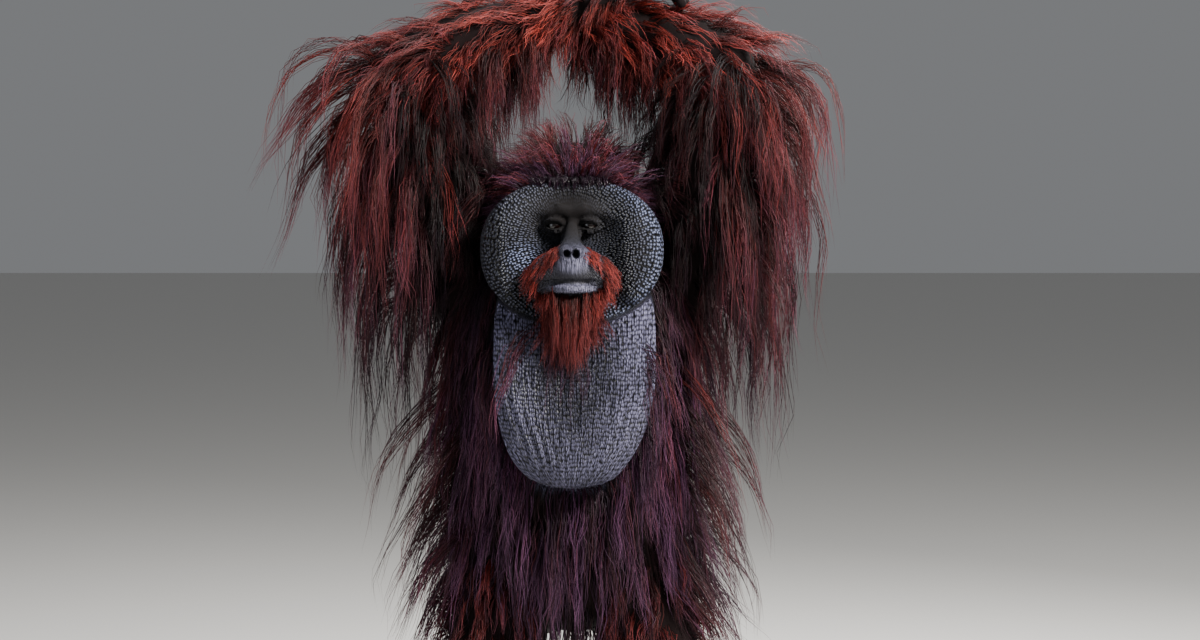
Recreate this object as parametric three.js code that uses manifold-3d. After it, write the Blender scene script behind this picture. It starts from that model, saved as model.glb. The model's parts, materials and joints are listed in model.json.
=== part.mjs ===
// A flanged male orangutan, life size, standing with its forearms crossed above its head.
// Millimetres, +Z up. The animal faces -Y and its left side is at +X. The soles stand on z = 0.
import * as THREE from "three";
import { mergeVertices } from "three/addons/utils/BufferGeometryUtils.js";
import Module from "manifold-3d";

const wasm = await Module();
wasm.setup();

// Driving dimensions: joints of the left side, mirrored for the right one
const GAP = 0.35; // clearance kept between touching pieces
const HIP = [100, 35, 505];
const KNEE = [182, -88, 300];
const ANKLE = [158, 52, 82];
const SHOULDER = [200, 58, 1030];
const ELBOW = [280, -4, 1392];
const WRIST = { left: [-16, 112, 1492], right: [-16, -4, 1500] };
const KNUCKLES = { left: [-112, 108, 1530], right: [-112, 22, 1545] };
const HEAD_CENTRE = [0, 30, 1112];
const EYE = { x: 30, y: -127, z: 1121, radius: 12.5 };
const DISC = { z: 1078, halfWidth: 157, up: 122, down: 120, y: -104, halfThickness: 30, power: 2.25 };
const SAC = { top: 1035, bottom: 673, halfWidth: 138, halfDepth: 66 };

const CORE = { torso: 22, arm: 16, forearm: 14, thigh: 16, shank: 12, crown: 12 };
const ROOT_DEPTH = 9; // how far a lock's root is sunk below the surface it grows from
const LOCK_SIDES = 3;
const LOCK_THICKNESS = 0.19; // of a lock's width
const DOWN = new THREE.Vector3(0, 0, -1);

const COAT_RED = 0x6e2a1c;
const COAT_MAROON = 0x4a1512;
const COAT_PURPLE = 0x44202e;
const BEARD_ORANGE = 0x9a3d22;
const SKIN_GREY = 0x3f3e44;
const EYE_BROWN = 0x2a140a;

const vector = (p) => new THREE.Vector3(...p);
const mirrored = (p, side) => [p[0] * side, p[1], p[2]];
const clamp = (x, low, high) => Math.min(high, Math.max(low, x));
const mix = (a, b, t) => a + (b - a) * t;

// A repeatable number from -1 to 1 for each seed.
function vary(seed) {
  const x = Math.sin(seed * 127.1 + 11.7) * 43758.5453;
  return 2 * (x - Math.floor(x)) - 1;
}

// A closed three.js geometry as a solid, turned inside out where its faces point inwards.
function solid(geometry) {
  const bare = new THREE.BufferGeometry();
  bare.setAttribute("position", geometry.getAttribute("position"));
  if (geometry.index) bare.setIndex(geometry.index);
  const closed = mergeVertices(bare, 1e-3);
  const vertProperties = Float32Array.from(closed.attributes.position.array);
  const triVerts = Uint32Array.from(closed.index.array);
  if (signedVolume(vertProperties, triVerts) < 0)
    for (let i = 0; i < triVerts.length; i += 3)
      [triVerts[i + 1], triVerts[i + 2]] = [triVerts[i + 2], triVerts[i + 1]];
  return new wasm.Manifold(new wasm.Mesh({ numProp: 3, vertProperties, triVerts }));
}

function signedVolume(points, faces) {
  const corner = (i) => new THREE.Vector3().fromArray(points, 3 * faces[i]);
  let sum = 0;
  for (let i = 0; i < faces.length; i += 3)
    sum += corner(i).dot(corner(i + 1).cross(corner(i + 2)));
  return sum / 6;
}

const joined = (pieces) => wasm.Manifold.union(pieces);

// Moves every point of a geometry by a function.
function reshape(geometry, place) {
  const at = geometry.attributes.position;
  const point = new THREE.Vector3();
  for (let i = 0; i < at.count; i++) {
    const moved = place(point.fromBufferAttribute(at, i));
    at.setXYZ(i, moved.x, moved.y, moved.z);
  }
  return geometry;
}

// A rounded tube through stations of [place, half width, half depth].
// Width runs along `wide`, and depth across it: to the back on an upright limb.
class Limb {
  constructor(stations, wide, side = 1) {
    const [places, widths, depths] = [0, 1, 2].map((k) => stations.map((s) => s[k]));
    this.line = new THREE.CatmullRomCurve3(places.map(vector));
    this.size = new THREE.CatmullRomCurve3(widths.map((w, i) => new THREE.Vector3(w, depths[i], 0)));
    this.wide = vector(wide);
    this.side = side;
  }

  // The point at u along the limb and an angle round it, with the normal and the limb's direction there.
  at(u, angle, extra = 0, scale = 1) {
    const along = this.line.getTangent(u);
    const wide = this.wide.clone().addScaledVector(along, -this.wide.dot(along)).normalize();
    const deep = along.clone().cross(wide).multiplyScalar(this.side);
    const { x: a, y: b } = this.size.getPoint(u);
    const [c, s] = [Math.cos(angle), Math.sin(angle)];
    const point = this.line
      .getPoint(u)
      .addScaledVector(wide, (a + extra) * scale * c)
      .addScaledVector(deep, (b + extra) * scale * s);
    const out = wide.multiplyScalar(c / a).addScaledVector(deep, s / b).normalize();
    return { point, out, along };
  }

  // The limb's cross-sections, for points to be moved clear of.
  get sections() {
    this.cut ??= Array.from({ length: 33 }, (_, i) => {
      const u = i / 32;
      const along = this.line.getTangent(u);
      const wide = this.wide.clone().addScaledVector(along, -this.wide.dot(along)).normalize();
      const deep = along.clone().cross(wide).multiplyScalar(this.side);
      const { x: a, y: b } = this.size.getPoint(u);
      return { centre: this.line.getPoint(u), along, wide, deep, a, b };
    });
    return this.cut;
  }

  // Moves a point that is closer to the limb than the clearance out to that distance.
  pushOut(point, clearance) {
    const miss = ({ centre, along }) => Math.abs(point.clone().sub(centre).dot(along));
    const nearest = this.sections.reduce((best, section) => (miss(section) < miss(best) ? section : best));
    if (miss(nearest) > this.line.getLength() / 40) return;
    const { centre, along, wide, deep, a, b } = nearest;
    const away = point.clone().sub(centre);
    away.addScaledVector(along, -away.dot(along));
    const share = Math.hypot(away.dot(wide) / (a + clearance), away.dot(deep) / (b + clearance));
    if (share > 0 && share < 1) point.addScaledVector(away, 1 / share - 1);
  }

  // Both ends are domes over the share `cap` of the length.
  solid(sides, rings, extra = 0, cap = 0.14) {
    const tube = new THREE.CylinderGeometry(1, 1, 1, sides, rings);
    return solid(
      reshape(tube, (p) => {
        const u = clamp(0.5 - p.y, 0, 1);
        const end = 1 - Math.min(1, Math.min(u, 1 - u) / cap);
        const dome = Math.max(0.3, Math.sqrt(1 - end * end));
        return this.at(u, Math.atan2(p.z, p.x), extra, dome * Math.min(1, Math.hypot(p.x, p.z))).point;
      }),
    );
  }
}

function ellipsoid(centre, radii, sides = 16, rings = 10) {
  const ball = new THREE.SphereGeometry(1, sides, rings);
  return solid(reshape(ball, (p) => p.multiply(vector(radii)).add(vector(centre))));
}

// The limbs and the trunk
const torso = new Limb(
  [
    [[0, 40, 400], 95, 85],
    [[0, 30, 490], 165, 128],
    [[0, 8, 610], 192, 152],
    [[0, 0, 740], 198, 156],
    [[0, 10, 880], 205, 146],
    [[0, 32, 985], 196, 126],
    [[0, 50, 1060], 140, 106],
  ],
  [1, 0, 0],
);

function upperArm(side) {
  const [s, e] = [mirrored(SHOULDER, side), mirrored(ELBOW, side)];
  const part = (t) => s.map((v, i) => mix(v, e[i], t));
  const stations = [
    [part(-0.16), 64, 70],
    [part(0.12), 78, 80],
    [part(0.45), 64, 68],
    [part(0.8), 54, 58],
    [part(1.08), 48, 52],
  ];
  return new Limb(stations, [side, 0, 0], side);
}

function forearm(side) {
  const e = mirrored(ELBOW, side);
  const w = mirrored(side > 0 ? WRIST.left : WRIST.right, side);
  const part = (t) => e.map((v, i) => mix(v, w[i], t));
  const stations = [
    [part(-0.1), 46, 50],
    [part(0.15), 58, 60],
    [part(0.4), 58, 56],
    [part(0.75), 42, 44],
    [part(1), 31, 37],
  ];
  return new Limb(stations, [0, 0, 1], side);
}

function thigh(side) {
  const [h, k] = [mirrored(HIP, side), mirrored(KNEE, side)];
  const part = (t) => h.map((v, i) => mix(v, k[i], t));
  const stations = [
    [part(-0.12), 74, 84],
    [part(0.3), 82, 88],
    [part(0.7), 66, 70],
    [part(1.08), 54, 56],
  ];
  return new Limb(stations, [side, 0, 0], side);
}

function shank(side) {
  const [k, a] = [mirrored(KNEE, side), mirrored(ANKLE, side)];
  const part = (t) => k.map((v, i) => mix(v, a[i], t));
  const stations = [
    [part(-0.05), 50, 50],
    [part(0.3), 54, 58],
    [part(0.7), 42, 46],
    [part(1.02), 36, 40],
  ];
  return new Limb(stations, [side, 0, 0], side);
}

// The throat sac: a hanging pouch, flat behind and full in front.
const sac = new Limb(
  [
    [[0, -96, SAC.top], 90, 30],
    [[0, -106, 985], 127, 46],
    [[0, -134, 920], SAC.halfWidth, 62],
    [[0, -158, 850], SAC.halfWidth, SAC.halfDepth],
    [[0, -174, 770], 122, 64],
    [[0, -180, 706], 84, 48],
    [[0, -178, SAC.bottom], 34, 22],
  ],
  [1, 0, 0],
);

// What locks lie on, each limb with the thickness of its core
const sides = [1, -1];
const BODY = [
  [torso, CORE.torso],
  [sac, 0],
  ...sides.flatMap((side) => [
    [upperArm(side), CORE.arm],
    [forearm(side), CORE.forearm],
    [thigh(side), CORE.thigh],
    [shank(side), CORE.shank],
  ]),
];

// The line of a lock: it leaves along `heading` and turns down by `fall`, lying on the body below it.
function lockRoute(root, out, heading, length, fall, steps, body = BODY, rise = 20) {
  const start = root.clone().addScaledVector(out, -ROOT_DEPTH);
  const route = [start];
  const point = root.clone();
  for (let i = 1; i <= steps; i++) {
    const s = i / steps;
    const turn = clamp(fall * s * 1.4, 0, 1);
    const direction = heading.clone().lerp(DOWN, turn).normalize();
    point.addScaledVector(direction, length / steps);
    for (const [limb, core] of body) limb.pushOut(point, core + 3 + rise * s);
    route.push(point.clone());
  }
  return smoothed(route);
}

// Bends are eased by drawing each point half way to the middle of its neighbours.
function smoothed(route) {
  return route.map((point, i) => {
    if (i === 0 || i === route.length - 1) return point;
    return point.clone().lerp(route[i - 1].clone().lerp(route[i + 1], 0.5), 0.5);
  });
}

// The directions along, across and out of each point of a route, carried from one point to the next.
function framesAlong(route, out, roll) {
  let face = out.clone().addScaledVector(DOWN, -0.3);
  return route.map((point, i) => {
    const before = route[Math.max(0, i - 1)];
    const after = route[Math.min(route.length - 1, i + 1)];
    const heading = after.clone().sub(before).normalize();
    face = face.clone().addScaledVector(heading, -face.dot(heading)).normalize();
    if (i > 0) face.applyAxisAngle(heading, roll / (route.length - 1));
    return { point, face, across: heading.clone().cross(face) };
  });
}

// A flat, tapered lock with a ridge on its outer face, along a route.
function lockSolid(route, out, width, thickness, roll = 0) {
  const steps = route.length - 1;
  const cone = new THREE.ConeGeometry(1, 1, LOCK_SIDES, steps);
  const halfBase = Math.sin((2 * Math.PI) / LOCK_SIDES);
  const frames = framesAlong(route, out, roll);
  return solid(
    reshape(cone, (p) => {
      const s = clamp(0.5 - p.y, 0, 1);
      const { point, face, across } = frames[Math.round((1 - s) * steps)];
      const taper = Math.pow(s, 0.5) * (0.72 + 1.1 * (1 - s) * s);
      const radius = s > 0 ? 1 / s : 0; // takes out the cone's own taper
      return point
        .clone()
        .addScaledVector(across, ((p.x * radius) / halfBase) * (width / 2) * taper)
        .addScaledVector(face, ((p.z * radius + 0.5) / 1.5) * thickness * taper);
    }),
  );
}

// A zone of long coat: rows along a limb and columns round it. Pairs run from the first row to the last.
// lie is how much a lock heads along the limb, lift how much outwards and fall how soon it hangs.
function coatLocks(limb, zone, spread) {
  const locks = [];
  for (let row = 0; row < zone.rows; row++) {
    const share = zone.rows > 1 ? row / (zone.rows - 1) : 0.5;
    const across = (pair) => mix(...pair, share);
    for (let column = 0; column < zone.columns; column++) {
      const seed = zone.seed + row * 37 + column * 5;
      const u = mix(zone.from, zone.to, share) + (0.2 * vary(seed) * (zone.to - zone.from)) / zone.rows;
      const turn = (column + 0.25 + 0.5 * (row % 2) + 0.12 * vary(seed + 1)) / zone.columns;
      const angle = THREE.MathUtils.degToRad(mix(...zone.around, turn));
      const { point, out, along } = limb.at(clamp(u, 0.02, 0.98), angle, zone.core);
      const heading = out.clone().multiplyScalar(across(zone.lift)).addScaledVector(along, zone.lie);
      const reach = mix(1, spread, Math.abs(out.x)); // locks at the arm's side stand out the most
      const length = across(zone.length) * reach * (1 + 0.18 * vary(seed + 2));
      const steps = zone.steps ?? 3;
      const rise = 16 + 6 * (column % 2);
      const fall = across(zone.fall) / reach;
      const route = lockRoute(point, out, heading.normalize(), length, fall, steps, BODY, rise);
      const width = zone.width * (1 + 0.15 * vary(seed + 3));
      locks.push(lockSolid(route, out, width, width * LOCK_THICKNESS, (zone.roll ?? 0.2) * vary(seed + 4)));
    }
  }
  return locks;
}

const COAT = {
  torso: [
    { seed: 100, from: 0.2, to: 0.97, rows: 4, around: [-26, 206], columns: 6, length: [200, 260],
      lie: -1, lift: [0.7, 0.45], fall: [1, 1], width: 124 },
    { seed: 300, from: 0.16, to: 0.58, rows: 3, around: [216, 324], columns: 4, length: [150, 230],
      lie: -1, lift: [0.3, 0.3], fall: [0.9, 0.9], width: 80 },
  ],
  upperArm: [
    { seed: 500, from: 0.16, to: 0.97, rows: 4, around: [-100, 128], columns: 4, length: [380, 325],
      lie: 0, lift: [0.5, 1], fall: [1.5, 0.72], width: 84, steps: 4, roll: 1.2 },
    { seed: 600, from: 0.65, to: 0.65, rows: 1, around: [140, 240], columns: 2, length: [160, 160],
      lie: 0, lift: [0.4, 0.5], fall: [1.3, 1.3], width: 60 },
  ],
  forearm: [
    { seed: 700, from: 0.08, to: 0.84, rows: 4, around: [-160, 200], columns: 4, length: [240, 130],
      lie: -0.5, lift: [0.7, 0.5], fall: [1.2, 1.2], width: 74, steps: 4, roll: 0.6 },
  ],
  thigh: [
    { seed: 800, from: 0.25, to: 0.85, rows: 2, around: [-120, 140], columns: 4, length: [130, 120],
      lie: 0.6, lift: [0.5, 0.5], fall: [1, 1], width: 76 },
  ],
  shank: [
    { seed: 900, from: 0.12, to: 0.6, rows: 2, around: [-180, 180], columns: 4, length: [110, 90],
      lie: 0.7, lift: [0.3, 0.3], fall: [0.8, 0.8], width: 64 },
  ],
};
const SPREAD = { left: 1.08, right: 1.46 }; // the right arm's coat stands out further

// The head
function smoothMin(a, b, blend) {
  const h = clamp(0.5 + (0.5 * (b - a)) / blend, 0, 1);
  return mix(b, a, h) - blend * h * (1 - h);
}

function ellipsoidField(p, centre, radii) {
  const scaled = new THREE.Vector3(...centre.map((c, i) => (p.getComponent(i) - c) / radii[i]));
  return (scaled.length() - 1) * Math.min(...radii);
}

// The plate of cheek pads and forehead: thick, round-edged and dished towards the eyes.
function discField(p) {
  const x = Math.abs(p.x) / DISC.halfWidth;
  const dz = p.z - DISC.z;
  const z = Math.abs(dz) / (dz > 0 ? DISC.up : DISC.down);
  const rim = Math.pow(Math.pow(x, DISC.power) + Math.pow(z, DISC.power), 1 / DISC.power);
  const pad = Math.exp(-(((Math.abs(p.x) - 100) / 42) ** 2));
  const middle = DISC.y - 16 * pad;
  const plate = Math.abs(p.y - middle) - DISC.halfThickness * (0.8 + 0.3 * pad);
  return -smoothMin(-plate, -(rim - 1) * 130, 26);
}

const HEAD_FORMS = [
  { centre: [0, 30, 1170], radii: [92, 108, 98], blend: 1 },
  { centre: [0, 66, 1085], radii: [104, 84, 100], blend: 40 },
  { centre: [0, -50, 1085], radii: [100, 80, 105], blend: 30 },
  { centre: [0, -150, 1043], radii: [66, 78, 50], blend: 16 },
  { centre: [0, -196, 1062], radii: [34, 34, 26], blend: 18 },
  { centre: [0, -178, 1016], radii: [48, 50, 26], blend: 12 },
  { centre: [0, -128, 1146], radii: [62, 20, 14], blend: 14 },
  { centre: [0, -132, 1100], radii: [16, 28, 34], blend: 14 },
];
const EYE_HOLLOWS = [1, -1].map((side) => ({ centre: [side * 33, -148, 1119], radii: [27, 26, 17], blend: 12 }));

function headField(p) {
  let field = discField(p);
  for (const { centre, radii, blend } of HEAD_FORMS)
    field = smoothMin(field, ellipsoidField(p, centre, radii), blend);
  for (const { centre, radii, blend } of EYE_HOLLOWS)
    field = -smoothMin(-field, ellipsoidField(p, centre, radii), blend);
  return field;
}

// The hair-covered part of the head swells by the crown's core.
function crownShare(p) {
  return clamp((p.y + 62) / 50, 0, 1) * clamp((p.z - 1030) / 60, 0, 1);
}

// The outermost point of the head along a ray from its centre.
function headSurface(direction) {
  const centre = vector(HEAD_CENTRE);
  const point = new THREE.Vector3();
  const inside = (r) => {
    point.copy(centre).addScaledVector(direction, r);
    return headField(point) < CORE.crown * crownShare(point);
  };
  let r = 300;
  while (r > 20 && !inside(r)) r -= 6;
  let [low, high] = [r, r + 6];
  for (let i = 0; i < 12; i++) {
    const middle = (low + high) / 2;
    if (inside(middle)) low = middle;
    else high = middle;
  }
  return point.copy(centre).addScaledVector(direction, low).clone();
}

// The rings round the face axis lie closer together over the face than over the back of the head.
function headShell() {
  const ball = new THREE.SphereGeometry(1, 30, 24);
  return solid(
    reshape(ball, (p) => {
      const polar = Math.acos(clamp(p.y, -1, 1));
      const warped = Math.PI * mix(polar / Math.PI, Math.pow(polar / Math.PI, 1.75), 0.75);
      const round = Math.atan2(p.z, p.x);
      const direction = new THREE.Vector3(
        Math.sin(warped) * Math.cos(round),
        -Math.cos(warped),
        Math.sin(warped) * Math.sin(round),
      );
      return headSurface(direction);
    }),
  );
}

function eyeBall(side) {
  return ellipsoid([side * EYE.x, EYE.y, EYE.z], Array(3).fill(EYE.radius), 10, 7);
}

// A lid is a thin roll over or under the eyeball.
function lidSolid(side, upper) {
  const stations = [-1, -0.6, 0, 0.6, 1].map((t) => [
    [
      side * EYE.x + t * (EYE.radius + 6),
      EYE.y - 3 - (EYE.radius - 1) * Math.sqrt(1 - 0.7 * t * t),
      EYE.z + (upper ? 1 : -1) * (2 + 5 * (1 - t * t)),
    ],
    4.2,
    4.5,
  ]);
  return new Limb(stations, [0, 0, 1]).solid(5, 6);
}

// The closed mouth is a shallow groove that follows the muzzle, and the lower lip a roll under it.
function mouthArc(z, drop, reach, depth, halfWidth) {
  return [-1, -0.5, 0, 0.5, 1].map((t) => [
    [t * halfWidth, reach + depth * t * t, z - drop * t * t],
    t * t === 1 ? 1.5 : 3,
    9,
  ]);
}

const mouthGroove = () => new Limb(mouthArc(1029, 3, -226, 44, 50), [0, 0, 1]).solid(5, 10);

function lowerLip() {
  const stations = mouthArc(1019, 2, -222, 40, 44).map(([place]) => [place, 8, 9]);
  return new Limb(stations, [0, 0, 1]).solid(6, 10);
}

function nostril(side) {
  return ellipsoid([side * 8, -226, 1075], [4.6, 12, 4.2], 6, 5);
}

function nostrilRim(side) {
  return ellipsoid([side * 9, -218, 1077], [9, 9, 8], 8, 6);
}

// The beard falls from the chin to two points; t runs across it from -1 to 1.
function beardLocks() {
  const locks = [];
  for (let i = 0; i < 9; i++) {
    const t = (i - 4) / 4;
    const upper = i % 2;
    const root = vector([t * 50, -206 + 46 * t * t + 6 * upper, 1004 + 6 * upper]);
    const out = vector([t * 0.6, -1, -0.1]).normalize();
    const heading = vector([-0.1 * t, -0.34, -1]).normalize();
    const length = 128 - 34 * t * t + 22 * Math.sin(Math.PI * Math.abs(t)) + 8 * vary(i);
    const route = lockRoute(root, out, heading, length, 0.9, 4, [[sac, 0]], 8 + 6 * upper);
    locks.push(lockSolid(route, out, 30, 9));
  }
  return locks;
}

// The moustache covers the sides of the muzzle, from beside the nose to the corners of the mouth.
function moustacheLocks() {
  return sides.flatMap((side) =>
    [0, 0.5, 1].map((t) => {
      const bulge = Math.sin(t * Math.PI * 0.6);
      const root = vector([side * mix(36, 60, bulge), mix(-196, -172, t), mix(1074, 1020, t)]);
      const out = vector([side * 0.75, -0.7, 0.15]).normalize();
      const heading = vector([side * 0.4, -0.25, -0.9]).normalize();
      return lockSolid(lockRoute(root, out, heading, 40, 0.3, 3, []), out, 26, 9);
    }),
  );
}

// The crown's hair stands round the disc and lies back over the skull; y is where each ring grows.
const CROWN_RINGS = [
  { y: -72, columns: 8, length: 48, lie: 0.2 },
  { y: 0, columns: 6, length: 84, lie: 0.8 },
];

function crownLocks() {
  return CROWN_RINGS.flatMap(({ y, columns, length, lie }, ring) =>
    Array.from({ length: columns }, (_, i) => {
      const angle = THREE.MathUtils.degToRad(mix(-20, 200, (i + 0.5) / columns));
      const aim = [Math.cos(angle), (y - HEAD_CENTRE[1]) / 150, Math.sin(angle)];
      const out = vector(aim).normalize();
      const root = headSurface(out);
      const heading = vector([out.x * 0.7, lie, out.z + 0.3]).normalize();
      const grown = length * (0.75 + 0.35 * Math.max(0, Math.sin(angle))) * (1 + 0.12 * vary(ring * 50 + i));
      return lockSolid(lockRoute(root, out, heading, grown, 0.4, 3, []), out, 62, 12);
    }),
  );
}

function earSolid(side) {
  const centre = [side * 112, 22, 1128];
  const shell = ellipsoid(centre, [13, 17, 24], 8, 6);
  const cup = ellipsoid([centre[0] + side * 12, centre[1] - 5, centre[2]], [9, 9, 15], 6, 5);
  return shell.subtract(cup);
}

// A digit bends through its knuckles from a palm or a sole.
function digit(points, thickness) {
  const stations = points.map((p, i) => [p, thickness * (1 - 0.1 * i), thickness * (0.95 - 0.1 * i)]);
  return new Limb(stations, [0, 0, 1]).solid(5, 4);
}

// The hand lies over the other arm's wrist, with its four long fingers hooked down and a short thumb.
function handForms(side) {
  const w = mirrored(side > 0 ? WRIST.left : WRIST.right, side);
  const k = mirrored(side > 0 ? KNUCKLES.left : KNUCKLES.right, side);
  const between = (t) => w.map((v, i) => mix(v, k[i], t));
  const palm = new Limb(
    [
      [between(-0.02), 26, 34],
      [between(0.4), 24, 42],
      [between(1.05), 19, 46],
    ],
    [0, 0, 1],
    side,
  );
  const pieces = [palm.solid(10, 5)];
  for (let finger = 0; finger < 4; finger++) {
    const y = k[1] + (finger - 1.5) * 23;
    const reach = -side * (1 - 0.08 * Math.abs(finger - 1.3));
    const points = [
      [k[0] + side * 12, y, k[2]],
      [k[0] + 38 * reach, y * 0.98, k[2] + 4],
      [k[0] + 72 * reach, y * 0.96, k[2] - 10],
      [k[0] + 92 * reach, y * 0.94, k[2] - 36],
    ];
    pieces.push(digit(points, 12.5));
  }
  const front = side > 0 ? 1 : -1;
  pieces.push(
    digit(
      [between(0.25), [...between(0.5)].map((v, i) => v + [0, front * 42, 0][i]), between(0.72).map((v, i) => v + [0, front * 52, -12][i])],
      11,
    ),
  );
  return pieces;
}

// The foot stands flat: heel, long sole, four curled toes and a great toe that stands apart.
function footForms(side) {
  const [x, y] = mirrored(ANKLE, side);
  const sole = new Limb(
    [
      [[x, y + 34, 24], 28, 26],
      [[x, y + 5, 40], 37, 44],
      [[x + side * 6, y - 65, 26], 42, 30],
      [[x + side * 14, y - 135, 17], 44, 20],
    ],
    [1, 0, 0],
  );
  const pieces = [sole.solid(12, 6)];
  for (let toe = 0; toe < 4; toe++) {
    const spread = toe - 1.5;
    const root = [x + side * (14 + spread * 21), y - 118, 22];
    const reach = 86 - 7 * Math.abs(spread);
    const points = [
      root,
      [root[0] + side * spread * 3, root[1] - reach * 0.45, 30],
      [root[0] + side * spread * 5, root[1] - reach * 0.85, 22],
      [root[0] + side * spread * 4, root[1] - reach, 8],
    ];
    pieces.push(digit(points, 12.5));
  }
  const bigToe = [
    [x - side * 18, y - 42, 20],
    [x - side * 52, y - 70, 20],
    [x - side * 66, y - 100, 10],
  ];
  pieces.push(digit(bigToe, 15));
  return pieces;
}

function floorBlock() {
  const block = new THREE.BoxGeometry(1200, 1200, 200);
  block.translate(0, 0, -100);
  return solid(block);
}

function padCut(side) {
  const block = new THREE.BoxGeometry(200, 160, 340);
  block.translate(side * 188, -132, DISC.z);
  return solid(block);
}

const headForms = () => [
  headShell(),
  ...[1, -1].flatMap((side) => [lidSolid(side, true), lidSolid(side, false), nostrilRim(side)]),
  lowerLip(),
  ...crownLocks(),
  ...moustacheLocks(),
];

// Every piece as [name, colour, roughness, forms, cuts]; each later one gives way to those before it.
function pieceList() {
  const coated = (limb, facets, rings, zones, core, spread = 1) => [
    limb.solid(facets, rings, core),
    ...zones.flatMap((zone) => coatLocks(limb, { ...zone, core }, spread)),
  ];
  const list = [
    ["eye_left", EYE_BROWN, 0.15, [eyeBall(1)]],
    ["eye_right", EYE_BROWN, 0.15, [eyeBall(-1)]],
    ["cheek_pad_left", SKIN_GREY, 0.45, [headShell().intersect(padCut(1))]],
    ["cheek_pad_right", SKIN_GREY, 0.45, [headShell().intersect(padCut(-1))]],
    ["head", SKIN_GREY, 0.5, headForms(), [mouthGroove(), nostril(1), nostril(-1)]],
    ["ear_left", SKIN_GREY, 0.6, [earSolid(1)]],
    ["ear_right", SKIN_GREY, 0.6, [earSolid(-1)]],
    ["beard", BEARD_ORANGE, 0.8, [ellipsoid([0, -176, 998], [48, 36, 22], 12, 6), ...beardLocks()]],
    ["throat_sac", SKIN_GREY, 0.5, [sac.solid(20, 10)]],
    ["torso", COAT_PURPLE, 0.85, coated(torso, 20, 12, COAT.torso, CORE.torso)],
  ];
  for (const [name, side] of [["left", 1], ["right", -1]])
    list.push(
      [`upper_arm_${name}`, COAT_MAROON, 0.85, coated(upperArm(side), 11, 7, COAT.upperArm, CORE.arm, SPREAD[name])],
      [`forearm_${name}`, COAT_RED, 0.85, coated(forearm(side), 11, 7, COAT.forearm, CORE.forearm)],
      [`hand_${name}`, SKIN_GREY, 0.6, handForms(side)],
      [`thigh_${name}`, COAT_RED, 0.85, coated(thigh(side), 12, 6, COAT.thigh, CORE.thigh)],
      [`lower_leg_${name}`, COAT_RED, 0.85, coated(shank(side), 10, 6, COAT.shank, CORE.shank)],
      [`foot_${name}`, SKIN_GREY, 0.6, footForms(side), [floorBlock()]],
    );
  return list;
}

// The direction that leans least away from all the normals, turned step by step towards the worst.
function awayFrom(normals) {
  const out = new THREE.Vector3();
  for (const normal of normals) out.add(normal);
  out.normalize();
  const leanest = () => normals.reduce((worst, n) => (n.dot(out) < worst.dot(out) ? n : worst), normals[0]);
  for (let i = 0; i < 40; i++) out.addScaledVector(leanest(), 0.12).normalize();
  return { out, least: leanest().dot(out) };
}

// The same body with every face moved outwards, as the cutter that keeps its neighbours clear.
function grown(body) {
  const { numProp, numVert, vertProperties, triVerts } = body.getMesh();
  const points = Array.from({ length: numVert }, (_, i) => new THREE.Vector3().fromArray(vertProperties, i * numProp));
  const faces = points.map(() => []);
  const triangle = new THREE.Triangle();
  for (let i = 0; i < triVerts.length; i += 3) {
    const corners = [...triVerts.subarray(i, i + 3)];
    triangle.setFromPointsAndIndices(points, ...corners);
    const normal = triangle.getNormal(new THREE.Vector3());
    if (triangle.getArea() > 1e-3) for (const corner of corners) faces[corner].push(normal);
  }
  const moved = new Float32Array(numVert * 3);
  points.forEach((point, i) => {
    if (faces[i].length) {
      const { out, least } = awayFrom(faces[i]);
      point.addScaledVector(out, GAP / Math.max(least, 0.07));
    }
    point.toArray(moved, i * 3);
  });
  return new wasm.Manifold(new wasm.Mesh({ numProp: 3, vertProperties: moved, triVerts }));
}

// Cuts each piece clear of those before it and keeps its largest closed surface.
function fitted(pieces) {
  let taken = null;
  return pieces.map(([name, colour, roughness, forms, cuts = []]) => {
    const whole = cuts.length ? joined(forms).subtract(joined(cuts)) : joined(forms);
    const cut = taken ? whole.subtract(taken) : whole;
    const [body] = cut.decompose().sort((a, b) => b.volume() - a.volume());
    taken = joined([...(taken ? [taken] : []), ...forms.map(grown)]);
    return { name, colour, roughness, body };
  });
}

function meshOf({ name, colour, roughness, body }) {
  const { numProp, numVert, vertProperties, triVerts } = body.getMesh();
  const positions = new Float32Array(numVert * 3);
  for (let i = 0; i < numVert; i++)
    positions.set(vertProperties.subarray(i * numProp, i * numProp + 3), i * 3);
  const geometry = new THREE.BufferGeometry();
  geometry.setAttribute("position", new THREE.BufferAttribute(positions, 3));
  geometry.setIndex(new THREE.BufferAttribute(triVerts, 1));
  geometry.computeVertexNormals();
  const material = new THREE.MeshStandardMaterial({ color: colour, roughness, metalness: 0 });
  const mesh = new THREE.Mesh(geometry, material);
  mesh.name = name;
  return mesh;
}

const orangutan = new THREE.Group();
for (const piece of fitted(pieceList())) orangutan.add(meshOf(piece));

// The origin is on the floor, under the middle of the whole animal.
const box = new THREE.Box3().setFromObject(orangutan);
const centre = box.getCenter(new THREE.Vector3());
orangutan.position.set(-centre.x, -centre.y, 0);

export default orangutan;
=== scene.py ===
# %% [markdown]
# # A flanged male orangutan, standing with its forearms folded over its head
# The shape has three layers. One bare skin fills the middle of the CAD solids, the eyes sit in it,
# and thousands of thin strands of hair, all real mesh, grow from its limbs in clumps.
# Everything is in metres, in the CAD frame: +Z is up and the animal faces -Y.

import json
import math

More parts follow.
